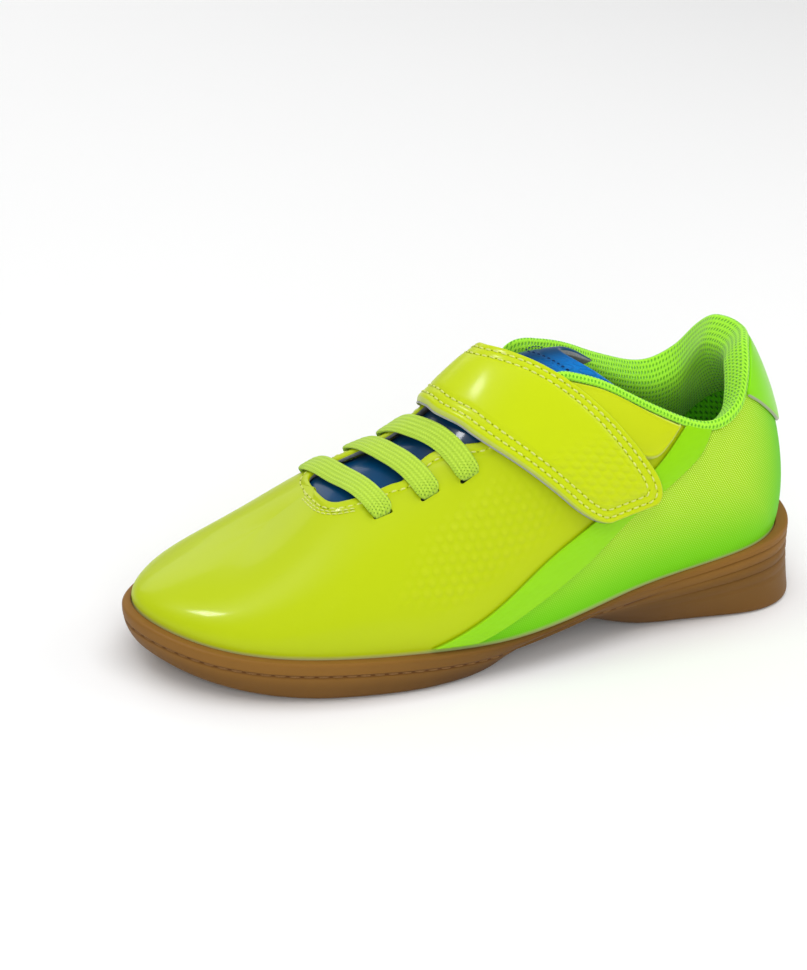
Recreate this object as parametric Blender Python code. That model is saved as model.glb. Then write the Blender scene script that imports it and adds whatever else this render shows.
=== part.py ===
"""A child's indoor soccer shoe, the left one of its pair, as its sewn and moulded pieces.

The shoe stands on its sole: toe towards -X, heel towards +X, outer (lateral) side towards -Y.
Its form is a ring of ribs. Each rib starts at the feather edge, where the upper meets the sole,
and bends up to the ridge line over the instep. Every piece is cut out of that one form:
a place on it is given by the rib number t, the share h of the rib's height, and an inset,
the depth below the outer face of the upper (a negative inset lies outside it).
"""
import math

import bmesh
import bpy
import numpy as np

# Driving sizes of the shoe, in metres
SOLE_LENGTH = 0.205
BALL_WIDTH = 0.0715
HEEL_WIDTH = 0.0523
INSTEP_HEIGHT = 0.0900
TOE_BOX_HEIGHT = 0.0365
HEEL_COLLAR_HEIGHT = 0.0812
SIDE_COLLAR_HEIGHT = 0.0625
SEAT_HEIGHT = 0.024
TOE_SPRING = 0.0065
ARCH_RISE = 0.0085

# Middle of the sole's outline, which the frame's origin lies under
MIDDLE_ALONG = 0.0068 * SOLE_LENGTH / 2
MIDDLE_ACROSS = -0.0218 * BALL_WIDTH / 2

# Thicknesses and widths of the materials
GAP = 0.0003
FACET_ROOM = 0.0002
WALL = 0.0022
FOREFOOT_SOLE = 0.0050
HEEL_SOLE = 0.0150
SOLE_LEDGE = 0.0030
HEEL_RIB_DEPTH = 0.0009
INSOLE_THICKNESS = 0.0035
TONGUE_THICKNESS = 0.0028
OVERLAY_THICKNESS = 0.0008
STRAP_THICKNESS = 0.0024
LACE_WIDTH = 0.0070
LACE_THICKNESS = 0.0015
SLOT_LENGTH = 0.0082
SLOT_WIDTH = 0.0022
LACE_SINK = 0.0013
LACE_LIFT = 0.00045
TAB_INSET = 0.0013
PAD_THICKNESS = 0.0070
PAD_FRONT_THICKNESS = 0.0014
PAD_DEPTH = 0.0240
PAD_FRONT_DEPTH = 0.0060
PAD_ROLL = 0.0020
PAD_FRONT_ROLL = 0.0018

# How finely each piece is divided, and the step that finds a direction along the form
STATION_STEP = 0.05
LEAST_SHARE = 0.012
RIBS = 24
TOE_RIB = 12
COLUMNS_PER_RIB = 3
THROAT_COLUMNS = (8.50, 8.65, 8.75)
UPPER_ROWS = 10

# The feather edge, one row a rib: along is a share of half the sole's length, across of the
# half width there, up of the seat height. Swell, rise and shoulder bend the rib. Ledge and
# tread are how far the sole's rim and its tread edge stand out, in shares of the widest ledge.
FEATHER_COLUMNS = ("along", "across", "up", "swell", "rise", "shoulder", "ledge", "tread")
FEATHER = [
    ("heel_back",       0.961,  0.00, 1.02, 0.12, 0.35, 0.54, 1.30, 1.95),
    ("heel_lateral",    0.912, -0.59, 1.00, 0.12, 0.35, 0.54, 1.30, 2.00),
    ("seat_lateral",    0.790, -0.94, 0.96, 0.08, 0.35, 0.62, 0.70, 0.15),
    ("breast_lateral",  0.615, -1.02, 0.85, 0.06, 0.35, 0.60, 0.60, -1.20),
    ("arch_lateral",    0.420, -1.07, 0.73, 0.05, 0.36, 0.52, 0.55, -2.10),
    ("waist_lateral",   0.215, -1.06, 0.58, 0.04, 0.36, 0.51, 0.55, -2.40),
    ("joint_lateral",   0.000, -1.00, 0.46, 0.04, 0.36, 0.47, 0.70, -1.40),
    ("ball_lateral",   -0.224, -1.01, 0.48, 0.05, 0.40, 0.42, 1.00, 0.10),
    ("tread_lateral",  -0.449, -0.99, 0.54, 0.06, 0.50, 0.50, 1.00, 0.00),
    ("toe_lateral",    -0.654, -0.87, 0.58, 0.07, 0.50, 0.50, 1.00, -0.30),
    ("cap_lateral",    -0.820, -0.62, 0.63, 0.07, 0.50, 0.50, 1.00, -0.45),
    ("tip_lateral",    -0.932, -0.25, 0.69, 0.06, 0.50, 0.50, 1.00, -0.55),
    ("tip",            -0.971,  0.12, 0.73, 0.05, 0.44, 0.50, 1.00, -0.55),
    ("tip_medial",     -0.917,  0.45, 0.71, 0.06, 0.38, 0.50, 0.55, -0.70),
    ("cap_medial",     -0.800,  0.73, 0.67, 0.07, 0.38, 0.50, 0.50, -0.60),
    ("toe_medial",     -0.624,  0.89, 0.62, 0.07, 0.38, 0.50, 0.80, -0.30),
    ("tread_medial",   -0.420,  0.97, 0.58, 0.06, 0.38, 0.50, 1.00, 0.00),
    ("ball_medial",    -0.215,  0.88, 0.54, 0.05, 0.40, 0.42, 1.00, 0.00),
    ("joint_medial",    0.000,  0.77, 0.54, 0.05, 0.36, 0.47, 0.70, -1.00),
    ("waist_medial",    0.215,  0.80, 0.62, 0.08, 0.36, 0.51, 0.55, -1.50),
    ("arch_medial",     0.420,  0.90, 0.75, 0.08, 0.36, 0.52, 0.55, -1.40),
    ("breast_medial",   0.615,  0.97, 0.87, 0.07, 0.35, 0.60, 0.60, -0.80),
    ("seat_medial",     0.790,  0.91, 0.96, 0.08, 0.35, 0.62, 0.70, 0.15),
    ("heel_medial",     0.912,  0.57, 1.00, 0.12, 0.35, 0.54, 1.30, 2.00),
]

# The ridge line over the instep, one row a station, heel first: the last rib is the toe.
# Up is a share of the instep height, or of the toe box height from the cap on.
RIDGE_COLUMNS = ("along", "across", "up", "pitch")
RIDGE = [
    ("heel",     0.585, 0.00, 1.11, 0.00),
    ("back",     0.566, 0.00, 1.11, 0.00),
    ("seat",     0.527, 0.00, 1.10, 0.02),
    ("mouth",    0.468, 0.00, 1.07, 0.08),
    ("brow",     0.351, 0.01, 1.00, 0.20),
    ("instep",   0.176, 0.03, 0.983, 0.32),
    ("strap",   -0.010, 0.04, 0.889, 0.74),
    ("laces",   -0.185, 0.05, 0.700, 0.75),
    ("throat",  -0.351, 0.06, 0.602, 0.56),
    ("vamp",    -0.488, 0.08, 0.508, 0.60),
    ("cap",     -0.571, 0.10, 1.08, 0.62),
    ("tip_fan", -0.605, 0.10, 1.02, 0.58),
    ("tip",     -0.617, 0.10, 1.00, 0.56),
]
CAP_STATION = 10

# Underside of the sole along its length: shares of the toe spring and of the arch rise.
UNDERSIDE_COLUMNS = ("name", "along", "spring", "arch")
UNDERSIDE = [
    ("tip",         -1.000, 1.00, 0.00),
    ("roll",        -0.900, 0.60, 0.00),
    ("cap",         -0.800, 0.35, 0.00),
    ("toe",         -0.700, 0.16, 0.00),
    ("tread_start", -0.600, 0.04, 0.00),
    ("tread_front", -0.540, 0.00, 0.00),
    ("tread_back",  -0.120, 0.00, 0.00),
    ("joint",       -0.050, 0.00, 0.13),
    ("waist_front",  0.000, 0.00, 0.38),
    ("arch_front",   0.080, 0.00, 0.68),
    ("arch",         0.150, 0.00, 0.92),
    ("arch_top",     0.215, 0.00, 1.00),
    ("arch_back",    0.300, 0.00, 0.78),
    ("breast",       0.380, 0.00, 0.40),
    ("heel_front",   0.460, 0.00, 0.10),
    ("heel_flat",    0.540, 0.00, 0.00),
    ("heel_bevel",   0.920, 0.00, 0.00),
    ("back",         1.050, 0.00, 0.20),
]

# Side profile of the sole from its rim down: share of the wall's height, setback in ledges,
# share of the heel ribs' depth.
SOLE_PROFILE = [
    (0.00, 0.40, 0.0), (0.035, 0.08, 0.0), (0.12, 0.00, 1.0), (0.15, 0.00, 0.0),
    (0.27, 0.00, 1.0), (0.30, 0.00, 0.0), (0.42, 0.00, 1.0), (0.45, 0.00, 0.0),
    (0.72, 0.00, 0.0), (0.93, 0.05, 0.0), (1.00, 0.50, 0.0),
]
SOLE_TUCK_EXPONENT = 2.2
HEEL_RIBS_FADE = (1.6, 4.2)
FLOOR_SHARES = (0.25, 0.50, 0.75)
TREAD_SHARES = (0.12, 0.50, 0.88)
FOOTBED_RISE_FROM_SHARE = -0.25
FOOTBED_RISE_TO_SHARE = 0.55

# Edge of the insole: rise and rounding, both in shares of its thickness.
INSOLE_EDGE = [(0.0, 0.12), (0.7, 0.0), (1.0, 0.28)]

# Collar seam, where the padded knit meets the outer face: height by station, as a share
# of the way from the side's lowest point up to the heel's height.
COLLAR_SEAM = [
    (0.00, 1.00), (0.60, 1.01), (1.05, 0.96), (1.35, 0.84), (1.60, 0.69), (1.83, 0.51),
    (2.05, 0.30), (2.28, 0.15), (2.70, 0.00), (2.98, 0.03), (3.20, 0.11), (3.45, 0.23),
    (3.90, 0.47), (4.15, 0.62), (4.42, 0.76), (4.73, 0.87), (5.00, 0.94),
]
COLLAR_CORNER_STATION = 5.0

# Section of the padded roll: rise above the seam in rolls, drop below it in pad depths, and
# the inset as a share of the wall behind it plus a share of the padding's thickness.
PAD_SECTION = [
    (0.00, 0.00, 0.0, 0.00), (0.50, 0.00, 0.0, 0.00), (0.85, 0.00, 0.28, 0.05),
    (1.00, 0.00, 0.50, 0.50), (0.70, 0.00, 1.0, 0.75), (0.00, 0.15, 1.0, 1.00),
    (0.00, 0.60, 1.0, 0.65), (0.00, 1.00, 1.0, 0.14), (0.00, 1.00, 1.0, 0.00),
    (0.00, 0.45, 1.0, 0.00), (0.00, 0.00, 1.0, 0.00),
]
PAD_SEAM_SHARE = 0.5

# Throat edge: distance from the ridge line as a share of the rib, outer and inner side.
THROAT_EDGE = [
    (5.00, 0.262, 0.255), (5.60, 0.320, 0.240), (6.20, 0.325, 0.215), (6.50, 0.281, 0.205),
    (6.75, 0.230, 0.175), (7.03, 0.219, 0.165), (7.35, 0.240, 0.175), (7.70, 0.225, 0.165),
    (8.05, 0.219, 0.185), (8.30, 0.175, 0.185), (8.50, 0.130, 0.140), (8.65, 0.070, 0.075),
    (8.75, 0.000, 0.000),
]
THROAT_FRONT_STATION = 8.75

# Lace bars: station and distance from the ridge of the outer and of the inner slot.
LACES = [
    ("front",  7.66, 0.370, 8.17, 0.345),
    ("middle", 6.97, 0.385, 7.50, 0.340),
    ("back",   6.43, 0.415, 7.02, 0.335),
]

# Section of a lace: share of its half width, share of its thickness.
LACE_SECTION = [(-1.0, 0.55), (-0.80, 1.0), (0.0, 1.0), (0.80, 1.0), (1.0, 0.55)]

# Strap edges by signed distance from the ridge, outer side below zero: station of its rear
# edge and of its front edge.
STRAP_EDGES = [
    (-0.76, 3.53, 4.76), (-0.68, 3.72, 5.03), (-0.537, 4.12, 5.57), (-0.456, 4.39, 5.85),
    (-0.394, 4.62, 6.04), (-0.30, 4.98, 6.27), (-0.225, 5.26, 6.40), (-0.16, 5.48, 6.51),
    (-0.08, 5.68, 6.60), (0.00, 5.80, 6.62), (0.08, 5.82, 6.62), (0.16, 5.80, 6.60),
    (0.225, 5.72, 6.56), (0.30, 5.60, 6.50), (0.394, 5.36, 6.36), (0.456, 5.16, 6.20),
    (0.537, 4.86, 5.94), (0.68, 4.34, 5.45), (0.76, 4.08, 5.18), (0.93, 3.62, 4.66),
]
STRAP_FREE_SHARE = 0.725
STRAP_SEWN_SHARE = 0.930
STRAP_CORNER_SHARE = 0.095
STRAP_PULL_SHARE = 0.22

# Side stripe from the collar down to the sole: front edge and rear edge, station and height.
STRIPE = [
    (3.22, 0.440, 2.76, 0.408), (3.70, 0.382, 3.00, 0.362), (4.20, 0.335, 3.50, 0.310),
    (4.90, 0.281, 4.20, 0.255), (5.60, 0.225, 4.90, 0.175), (6.40, 0.120, 5.80, 0.095),
    (7.12, 0.020, 6.50, 0.020),
]

# Collar panel, lower edge: station and height share. Its top follows the collar seam.
PANEL = [
    (4.90, 0.600), (4.60, 0.520), (4.30, 0.460), (4.00, 0.420), (3.80, 0.402),
    (3.62, 0.404), (3.48, 0.420), (3.38, 0.438),
]

# Heel tab, lower edge from the middle of the back: station and height share.
HEEL_TAB = [
    (0.00, 0.300), (0.35, 0.305), (0.70, 0.330), (1.23, 0.398), (1.58, 0.446),
    (1.83, 0.476),
]

# Tongue: way up it, station on the ridge, half width, and the depth below the wall as a share
# of the tongue's thickness.
TONGUE = [
    (0.00, 8.45, 0.17, 0.00), (0.25, 7.50, 0.28, 0.00), (0.50, 6.60, 0.34, 0.00),
    (0.75, 5.80, 0.37, 0.30), (0.88, 5.30, 0.35, 0.80), (1.00, 4.80, 0.32, 1.10),
]
TONGUE_SLANT_SHARE = 3.3
TONGUE_SLANT_EXPONENT = 1.2
TONGUE_EDGE_SHARE = 0.45

# Halvings of the interval in which a place on the form is sought.
HALVINGS = 30

LIME = (0.62, 0.78, 0.0)
LIME_GREEN = (0.25, 0.80, 0.02)
KNIT_GREEN = (0.22, 0.68, 0.05)
GUM = (0.27, 0.12, 0.045)
NAVY = (0.005, 0.05, 0.19)
LINING_GREY = (0.45, 0.47, 0.48)
LACE_LIME = (0.48, 0.85, 0.06)


def clear_scene():
    for thing in list(bpy.data.objects):
        bpy.data.objects.remove(thing, do_unlink=True)


def ring_spline(rows):
    """Values and second derivatives of a closed cubic spline, one knot a row."""
    values = np.asarray(rows, float)
    count = len(values)
    matrix = 4.0 * np.eye(count) + np.roll(np.eye(count), 1, 0) + np.roll(np.eye(count), -1, 0)
    bend = 6.0 * (np.roll(values, 1, 0) - 2.0 * values + np.roll(values, -1, 0))
    return values, np.linalg.solve(matrix, bend)


def ring_value(spline, t):
    values, second = spline
    count = len(values)
    t = np.asarray(t, float) % count
    low = np.floor(t).astype(int) % count
    high = (low + 1) % count
    b = (t - np.floor(t))[..., None]
    a = 1.0 - b
    curve = (a**3 - a) * second[low] + (b**3 - b) * second[high]
    return a * values[low] + b * values[high] + curve / 6.0


def table_curve(rows, x, column=1):
    """Smooth curve through the rows of a table, by Hermite pieces."""
    table = sorted((row[0], row[column]) for row in rows)
    xs = np.array([row[0] for row in table], float)
    ys = np.array([row[1] for row in table], float)
    slope = np.gradient(ys, xs)
    x = np.clip(np.asarray(x, float), xs[0], xs[-1])
    i = np.clip(np.searchsorted(xs, x) - 1, 0, len(xs) - 2)
    step = xs[i + 1] - xs[i]
    f = (x - xs[i]) / step
    start = (1 + 2 * f) * (1 - f) ** 2 * ys[i] + f * (1 - f) ** 2 * step * slope[i]
    end = f * f * (3 - 2 * f) * ys[i + 1] + f * f * (f - 1) * step * slope[i + 1]
    return start + end


def smooth(x, low, high):
    f = np.clip((np.asarray(x, float) - low) / (high - low), 0.0, 1.0)
    return f * f * (3.0 - 2.0 * f)


def half_width(along):
    """Half the upper's width at a share of the length: ball width in front, heel width behind."""
    rear = smooth(along, -0.10, 0.50)
    return 0.5 * (BALL_WIDTH * (1.0 - rear) + HEEL_WIDTH * rear)


def rib_columns():
    """Rib numbers of all upright columns: even steps, and closer ones round the throat's front."""
    even = [k / COLUMNS_PER_RIB for k in range(TOE_RIB * COLUMNS_PER_RIB + 1)]
    side = [u for u in even if not THROAT_COLUMNS[0] < u < THROAT_COLUMNS[-1]]
    side = sorted(side + list(THROAT_COLUMNS))
    return np.array(side + [RIBS - u for u in side[-2:0:-1]])


def feather_rows():
    rows = []
    for name, along, across, up, swell, rise, shoulder, ledge, tread in FEATHER:
        x = along * SOLE_LENGTH / 2 - MIDDLE_ALONG
        y = across * float(half_width(along)) - MIDDLE_ACROSS
        z = up * SEAT_HEIGHT
        rows.append((x, y, z, swell, rise, shoulder, ledge * SOLE_LEDGE, tread * SOLE_LEDGE))
    return rows


def ridge_rows():
    """The ridge stations as a closed ring, so that both sides meet on the same line."""
    stations = []
    for number, (name, along, across, up, pitch) in enumerate(RIDGE):
        tall = TOE_BOX_HEIGHT if number >= CAP_STATION else INSTEP_HEIGHT
        x = along * SOLE_LENGTH / 2 - MIDDLE_ALONG
        y = across * BALL_WIDTH / 2 - MIDDLE_ACROSS
        stations.append((x, y, up * tall, pitch))
    return stations + stations[-2:0:-1]


FEATHER_SPLINE = ring_spline(feather_rows())
RIDGE_SPLINE = ring_spline(ridge_rows())


def station(t):
    """Ridge station of a rib: 0 at the heel, 12 at the toe, alike on both sides."""
    t = np.asarray(t, float) % RIBS
    return TOE_RIB - np.abs(TOE_RIB - t)


def feather(t, inset=0.0):
    """Point of the feather edge, moved level inwards by the inset."""
    step = 1e-3
    here = ring_value(FEATHER_SPLINE, t)
    tangent = ring_value(FEATHER_SPLINE, t + step) - ring_value(FEATHER_SPLINE, t - step)
    tangent = tangent[..., :2] / np.linalg.norm(tangent[..., :2], axis=-1, keepdims=True)
    inset = np.asarray(inset, float)[..., None] * np.ones_like(tangent)
    inward = np.stack([tangent[..., 1], -tangent[..., 0]], -1)
    return np.concatenate([here[..., :2] + inward * inset, here[..., 2:3]], -1)


def form(t, h, inset=0.0):
    """Point of the shoe's form: rib t, height share h, depth inset below the outer face."""
    t, h, inset = np.broadcast_arrays(*(np.asarray(v, float) for v in (t, h, inset)))
    foot = feather(t, inset)
    shape = ring_value(FEATHER_SPLINE, t)
    swell, rise, shoulder = shape[..., 3], shape[..., 4], shape[..., 5]
    ridge = ring_value(RIDGE_SPLINE, t)
    top = ridge[..., 2] - inset
    reach = ridge[..., :2] - foot[..., :2]
    arrive = 1.0 - ridge[..., 3] * reach[..., 0] * shoulder / (top - foot[..., 2])
    a = 1.0 - h
    out = a**3 + 3 * a * a * h * (1.0 + swell) + 3 * a * h * h * shoulder
    up = 3 * a * a * h * rise + 3 * a * h * h * arrive + h**3
    level = ridge[..., :2] - reach * out[..., None]
    height = foot[..., 2] + (top - foot[..., 2]) * up
    return np.concatenate([level, height[..., None]], -1)


def across_form(u, g, inset=0.0):
    """Point by ridge station and signed distance from the ridge: outer side g < 0."""
    u, g, inset = np.broadcast_arrays(*(np.asarray(v, float) for v in (u, g, inset)))
    return form(np.where(g < 0, u, RIBS - u), 1.0 - np.abs(g), inset)


def share_at_height(t, z):
    """Height share h at which rib t reaches height z."""
    low = np.zeros_like(np.asarray(t, float))
    high = np.ones_like(low)
    for _ in range(HALVINGS):
        middle = 0.5 * (low + high)
        below = form(t, middle)[..., 2] < z
        low = np.where(below, middle, low)
        high = np.where(below, high, middle)
    return 0.5 * (low + high)


def seam_height(t):
    share = table_curve(COLLAR_SEAM, station(t))
    return SIDE_COLLAR_HEIGHT + share * (HEEL_COLLAR_HEIGHT - SIDE_COLLAR_HEIGHT)


def seam_share(t):
    return share_at_height(t, seam_height(t))


def upper_top(t):
    """Height share at which the upper ends: collar seam, throat edge, or the closed vamp."""
    t = np.asarray(t, float) % RIBS
    u = station(t)
    side = np.where(t < TOE_RIB, table_curve(THROAT_EDGE, u, 1), table_curve(THROAT_EDGE, u, 2))
    throat = 1.0 - np.clip(side, 0.0, 1.0)
    collar = seam_share(t)
    return np.where(u <= COLLAR_CORNER_STATION, collar, np.where(u < THROAT_FRONT_STATION, throat, 1.0))


def share_along(x):
    return (x + MIDDLE_ALONG) / (SOLE_LENGTH / 2)


def underside(x):
    along = share_along(x)
    xs = [row[1] for row in UNDERSIDE]
    spring = np.interp(along, xs, [row[2] for row in UNDERSIDE]) * TOE_SPRING
    arch = np.interp(along, xs, [row[3] for row in UNDERSIDE]) * ARCH_RISE
    return spring + arch


def inner_floor(x):
    """Height of the sole's floor inside, on which the upper's edge and the insole rest."""
    along = share_along(x)
    spring = table_curve([row[1:] for row in UNDERSIDE], along, 1) * TOE_SPRING
    rise = smooth(along, FOOTBED_RISE_FROM_SHARE, FOOTBED_RISE_TO_SHARE)
    return FOREFOOT_SOLE + spring + (HEEL_SOLE - FOREFOOT_SOLE) * rise


def material(name, colour, roughness):
    paint = bpy.data.materials.new(name)
    paint.use_nodes = True
    shader = paint.node_tree.nodes["Principled BSDF"]
    shader.inputs["Base Color"].default_value = (*colour, 1.0)
    shader.inputs["Roughness"].default_value = roughness
    shader.inputs["Metallic"].default_value = 0.0
    paint.diffuse_color = (*colour, 1.0)
    return paint


def add_solid(name, vertices, faces, paint):
    """One closed mesh object, its faces turned out."""
    mesh = bmesh.new()
    points = [mesh.verts.new(tuple(float(c) for c in v)) for v in vertices]
    for face in faces:
        corners = []
        for index in face:
            if points[index] not in corners:
                corners.append(points[index])
        if len(corners) > 2:
            mesh.faces.new(corners)
    bmesh.ops.remove_doubles(mesh, verts=mesh.verts, dist=2e-5)
    bmesh.ops.recalc_face_normals(mesh, faces=mesh.faces)
    if mesh.calc_volume(signed=True) < 0:
        bmesh.ops.reverse_faces(mesh, faces=mesh.faces)
    data = bpy.data.meshes.new(name)
    mesh.to_mesh(data)
    mesh.free()
    data.shade_smooth()
    data.set_sharp_from_angle(angle=math.radians(50))
    thing = bpy.data.objects.new(name, data)
    bpy.context.collection.objects.link(thing)
    data.materials.append(paint)
    return thing


def sheet_solid(name, outer, inner, paint):
    """A sheet between two grids of points, closed around its border."""
    rows, columns = outer.shape[:2]
    vertices = np.concatenate([outer.reshape(-1, 3), inner.reshape(-1, 3)])
    back = rows * columns
    faces = []
    for i in range(rows - 1):
        for j in range(columns - 1):
            a = i * columns + j
            quad = (a, a + 1, a + columns + 1, a + columns)
            faces.append(quad)
            faces.append(tuple(back + k for k in reversed(quad)))
    border = [j for j in range(columns)]
    border += [i * columns + columns - 1 for i in range(1, rows)]
    border += [(rows - 1) * columns + j for j in range(columns - 2, -1, -1)]
    border += [i * columns for i in range(rows - 2, 0, -1)]
    for a, b in zip(border, border[1:] + border[:1]):
        faces.append((b, a, back + a, back + b))
    return add_solid(name, vertices, faces, paint)


def stack_rings(rings):
    """Points and side faces of a stack of equal rings."""
    count = len(rings[0])
    faces = []
    for k in range(len(rings) - 1):
        for i in range(count):
            j = (i + 1) % count
            faces.append((k * count + i, k * count + j, (k + 1) * count + j, (k + 1) * count + i))
    return [p for ring in rings for p in ring], faces


def ring_caps(ring, columns, first, shares):
    """Cross rows that close a ring of points, from the outer side to the inner side.

    Returns the new inner points and the faces. Ring point 0 is the heel, columns / 2 the toe.
    """
    half = columns // 2
    points = []
    faces = []
    last = [0] * (len(shares) + 2)
    for i in range(1, half):
        outer, inner = ring[i], ring[columns - i]
        row = [i]
        for share in shares:
            row.append(first + len(points))
            points.append(outer + (inner - outer) * share)
        row.append(columns - i)
        for j in range(len(row) - 1):
            faces.append((last[j], last[j + 1], row[j + 1], row[j]))
        last = row
    for j in range(len(last) - 1):
        faces.append((last[j], last[j + 1], half))
    return points, faces


def build_outsole():
    """Gum rubber cup: side wall with a ledge, stepped heel ribs, flat tread, raised arch."""
    t = rib_columns()
    count = len(t)
    edge = ring_value(FEATHER_SPLINE, t)
    rim, ledge, tread = edge[:, 2], edge[:, 6], edge[:, 7]
    ribbed = (1.0 - smooth(station(t), *HEEL_RIBS_FADE)) * HEEL_RIB_DEPTH
    ground = underside(feather(t)[:, 0])
    floor_ring = feather(t, -GAP)
    floor_ring[:, 2] = inner_floor(feather(t)[:, 0])
    mouth = feather(t, -GAP)
    mouth[:, 2] = rim
    rings = [floor_ring, mouth]
    for drop, setback, rib in SOLE_PROFILE:
        tuck = drop**SOLE_TUCK_EXPONENT
        offset = ledge + (tread - ledge) * tuck - setback * ledge - rib * ribbed
        point = feather(t, -offset)
        point[:, 2] = rim + (ground - rim) * drop
        rings.append(point)
    rings[-1][:, 2] = underside(rings[-1][:, 0])
    vertices, faces = stack_rings(rings)
    floor_points, floor_faces = ring_caps(rings[0], count, len(vertices), FLOOR_SHARES)
    for p in floor_points:
        p[2] = inner_floor(p[0])
    vertices += floor_points
    faces += floor_faces
    start = len(vertices)
    tread_points, tread_faces = ring_caps(rings[-1], count, start, TREAD_SHARES)
    base = (len(rings) - 1) * count
    for p in tread_points:
        p[2] = underside(p[0])
    vertices += tread_points
    faces += [tuple(k if k >= start else k + base for k in face) for face in tread_faces]
    return add_solid("outsole", vertices, faces, material("gum_rubber", GUM, 0.55))


def build_insole():
    """Flat foam sheet on the sole's floor, inside the upper's wall."""
    t = rib_columns()
    count = len(t)
    rings = []
    for rise, rounding in INSOLE_EDGE:
        ring = feather(t, WALL + GAP + FACET_ROOM + rounding * INSOLE_THICKNESS)
        ring[:, 2] = inner_floor(ring[:, 0]) + GAP + rise * INSOLE_THICKNESS
        rings.append(ring)
    vertices, faces = stack_rings(rings)
    for level, rise in ((0, 0.0), (2, 1.0)):
        start = len(vertices)
        points, cap = ring_caps(rings[level], count, start, FLOOR_SHARES)
        for p in points:
            p[2] = inner_floor(p[0]) + GAP + rise * INSOLE_THICKNESS
        vertices += points
        faces += [tuple(k if k >= start else k + level * count for k in face) for face in cap]
    return add_solid("insole", vertices, faces, material("lining_foam", LINING_GREY, 0.9))


def slot_place(u, g):
    """Middle, lengthwise direction and outward direction of a place on the upper."""
    middle = across_form(u, g, WALL / 2)
    length = across_form(u - STATION_STEP, g) - across_form(u + STATION_STEP, g)
    length = length / np.linalg.norm(length)
    width = across_form(u, g + STATION_STEP / 4) - across_form(u, g - STATION_STEP / 4)
    out = np.cross(length, width)
    out = out / np.linalg.norm(out)
    if out[2] < 0:
        out = -out
    return middle, length, out


def cut_slots(upper):
    """Six lace slots through the upper's wall, beside the throat."""
    corners = []
    faces = []
    for name, outer_u, outer_g, inner_u, inner_g in LACES:
        for u, g in ((outer_u, -outer_g), (inner_u, inner_g)):
            middle, length, out = slot_place(u, g)
            width = np.cross(out, length)
            start = len(corners)
            for z in (-1, 1):
                for y in (-1, 1):
                    for x in (-1, 1):
                        corner = middle + out * z * WALL * 2 + width * y * SLOT_WIDTH / 2
                        corners.append(corner + length * x * SLOT_LENGTH / 2)
            for face in ((0, 1, 3, 2), (4, 6, 7, 5), (0, 4, 5, 1), (2, 3, 7, 6), (0, 2, 6, 4), (1, 5, 7, 3)):
                faces.append(tuple(start + k for k in face))
    cutter = add_solid("slot_cutter", corners, faces, material("cutter", (1, 0, 0), 0.5))
    cutter.hide_render = True
    cutter.display_type = "WIRE"
    cut = upper.modifiers.new("lace_slots", "BOOLEAN")
    cut.operation = "DIFFERENCE"
    cut.solver = "EXACT"
    cut.object = cutter


def build_upper():
    """One hollow wall: open at the collar, the throat, the lace slots and underneath."""
    t = rib_columns()
    count = len(t)
    top = upper_top(t)
    layers = []
    for inset in (0.0, WALL):
        low = feather(t, inset)
        low[:, 2] = inner_floor(feather(t)[:, 0]) + GAP
        layers.append([low] + [form(t, top * j / UPPER_ROWS, inset) for j in range(UPPER_ROWS + 1)])
    levels = len(layers[0])
    vertices, faces = stack_rings(layers[0])
    inner_vertices, inner_faces = stack_rings(layers[1])
    back = len(vertices)
    vertices += inner_vertices
    faces += [tuple(back + k for k in reversed(face)) for face in inner_faces]
    for i in range(count):
        j = (i + 1) % count
        faces.append((j, i, back + i, back + j))
        if top[i] < 1.0 or top[j] < 1.0:
            last = (levels - 1) * count
            faces.append((last + i, last + j, back + last + j, back + last + i))
    upper = add_solid("upper", vertices, faces, material("lime_synthetic", LIME, 0.3))
    cut_slots(upper)
    return upper


def build_collar_pad():
    """Padded knit roll over the collar edge, thick at the heel and thin at the front corners."""
    last = math.floor((COLLAR_CORNER_STATION - 0.1) * COLUMNS_PER_RIB)
    t = np.arange(-last, last + 1) / COLUMNS_PER_RIB
    u = np.abs(t)
    t = t % RIBS
    front = smooth(u, 2.0, 4.3)
    thick = PAD_THICKNESS + (PAD_FRONT_THICKNESS - PAD_THICKNESS) * front
    depth = PAD_DEPTH + (PAD_FRONT_DEPTH - PAD_DEPTH) * front
    roll = PAD_ROLL + (PAD_FRONT_ROLL - PAD_ROLL) * smooth(u, 1.0, 3.0)
    inside = WALL + GAP + FACET_ROOM
    seam = seam_height(t)
    rings = []
    for rise, drop, deep, extra in PAD_SECTION:
        inset = deep * inside + extra * thick
        if deep + extra == 0.0:
            inset = inset - PAD_SEAM_SHARE * roll * rise
        height = seam + np.where(rise == drop == 0.0, GAP, rise * roll - drop * depth)
        rings.append(form(t, share_at_height(t, height), inset))
    grid = np.array(rings)
    sides, columns = grid.shape[:2]
    vertices = grid.reshape(-1, 3)
    faces = []
    for k in range(sides):
        m = (k + 1) % sides
        for i in range(columns - 1):
            faces.append((k * columns + i, k * columns + i + 1, m * columns + i + 1, m * columns + i))
    for i in (0, columns - 1):
        faces.append(tuple(k * columns + i for k in range(sides)))
    return add_solid("collar_pad", vertices, faces, material("green_knit", KNIT_GREEN, 0.85))


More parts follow.
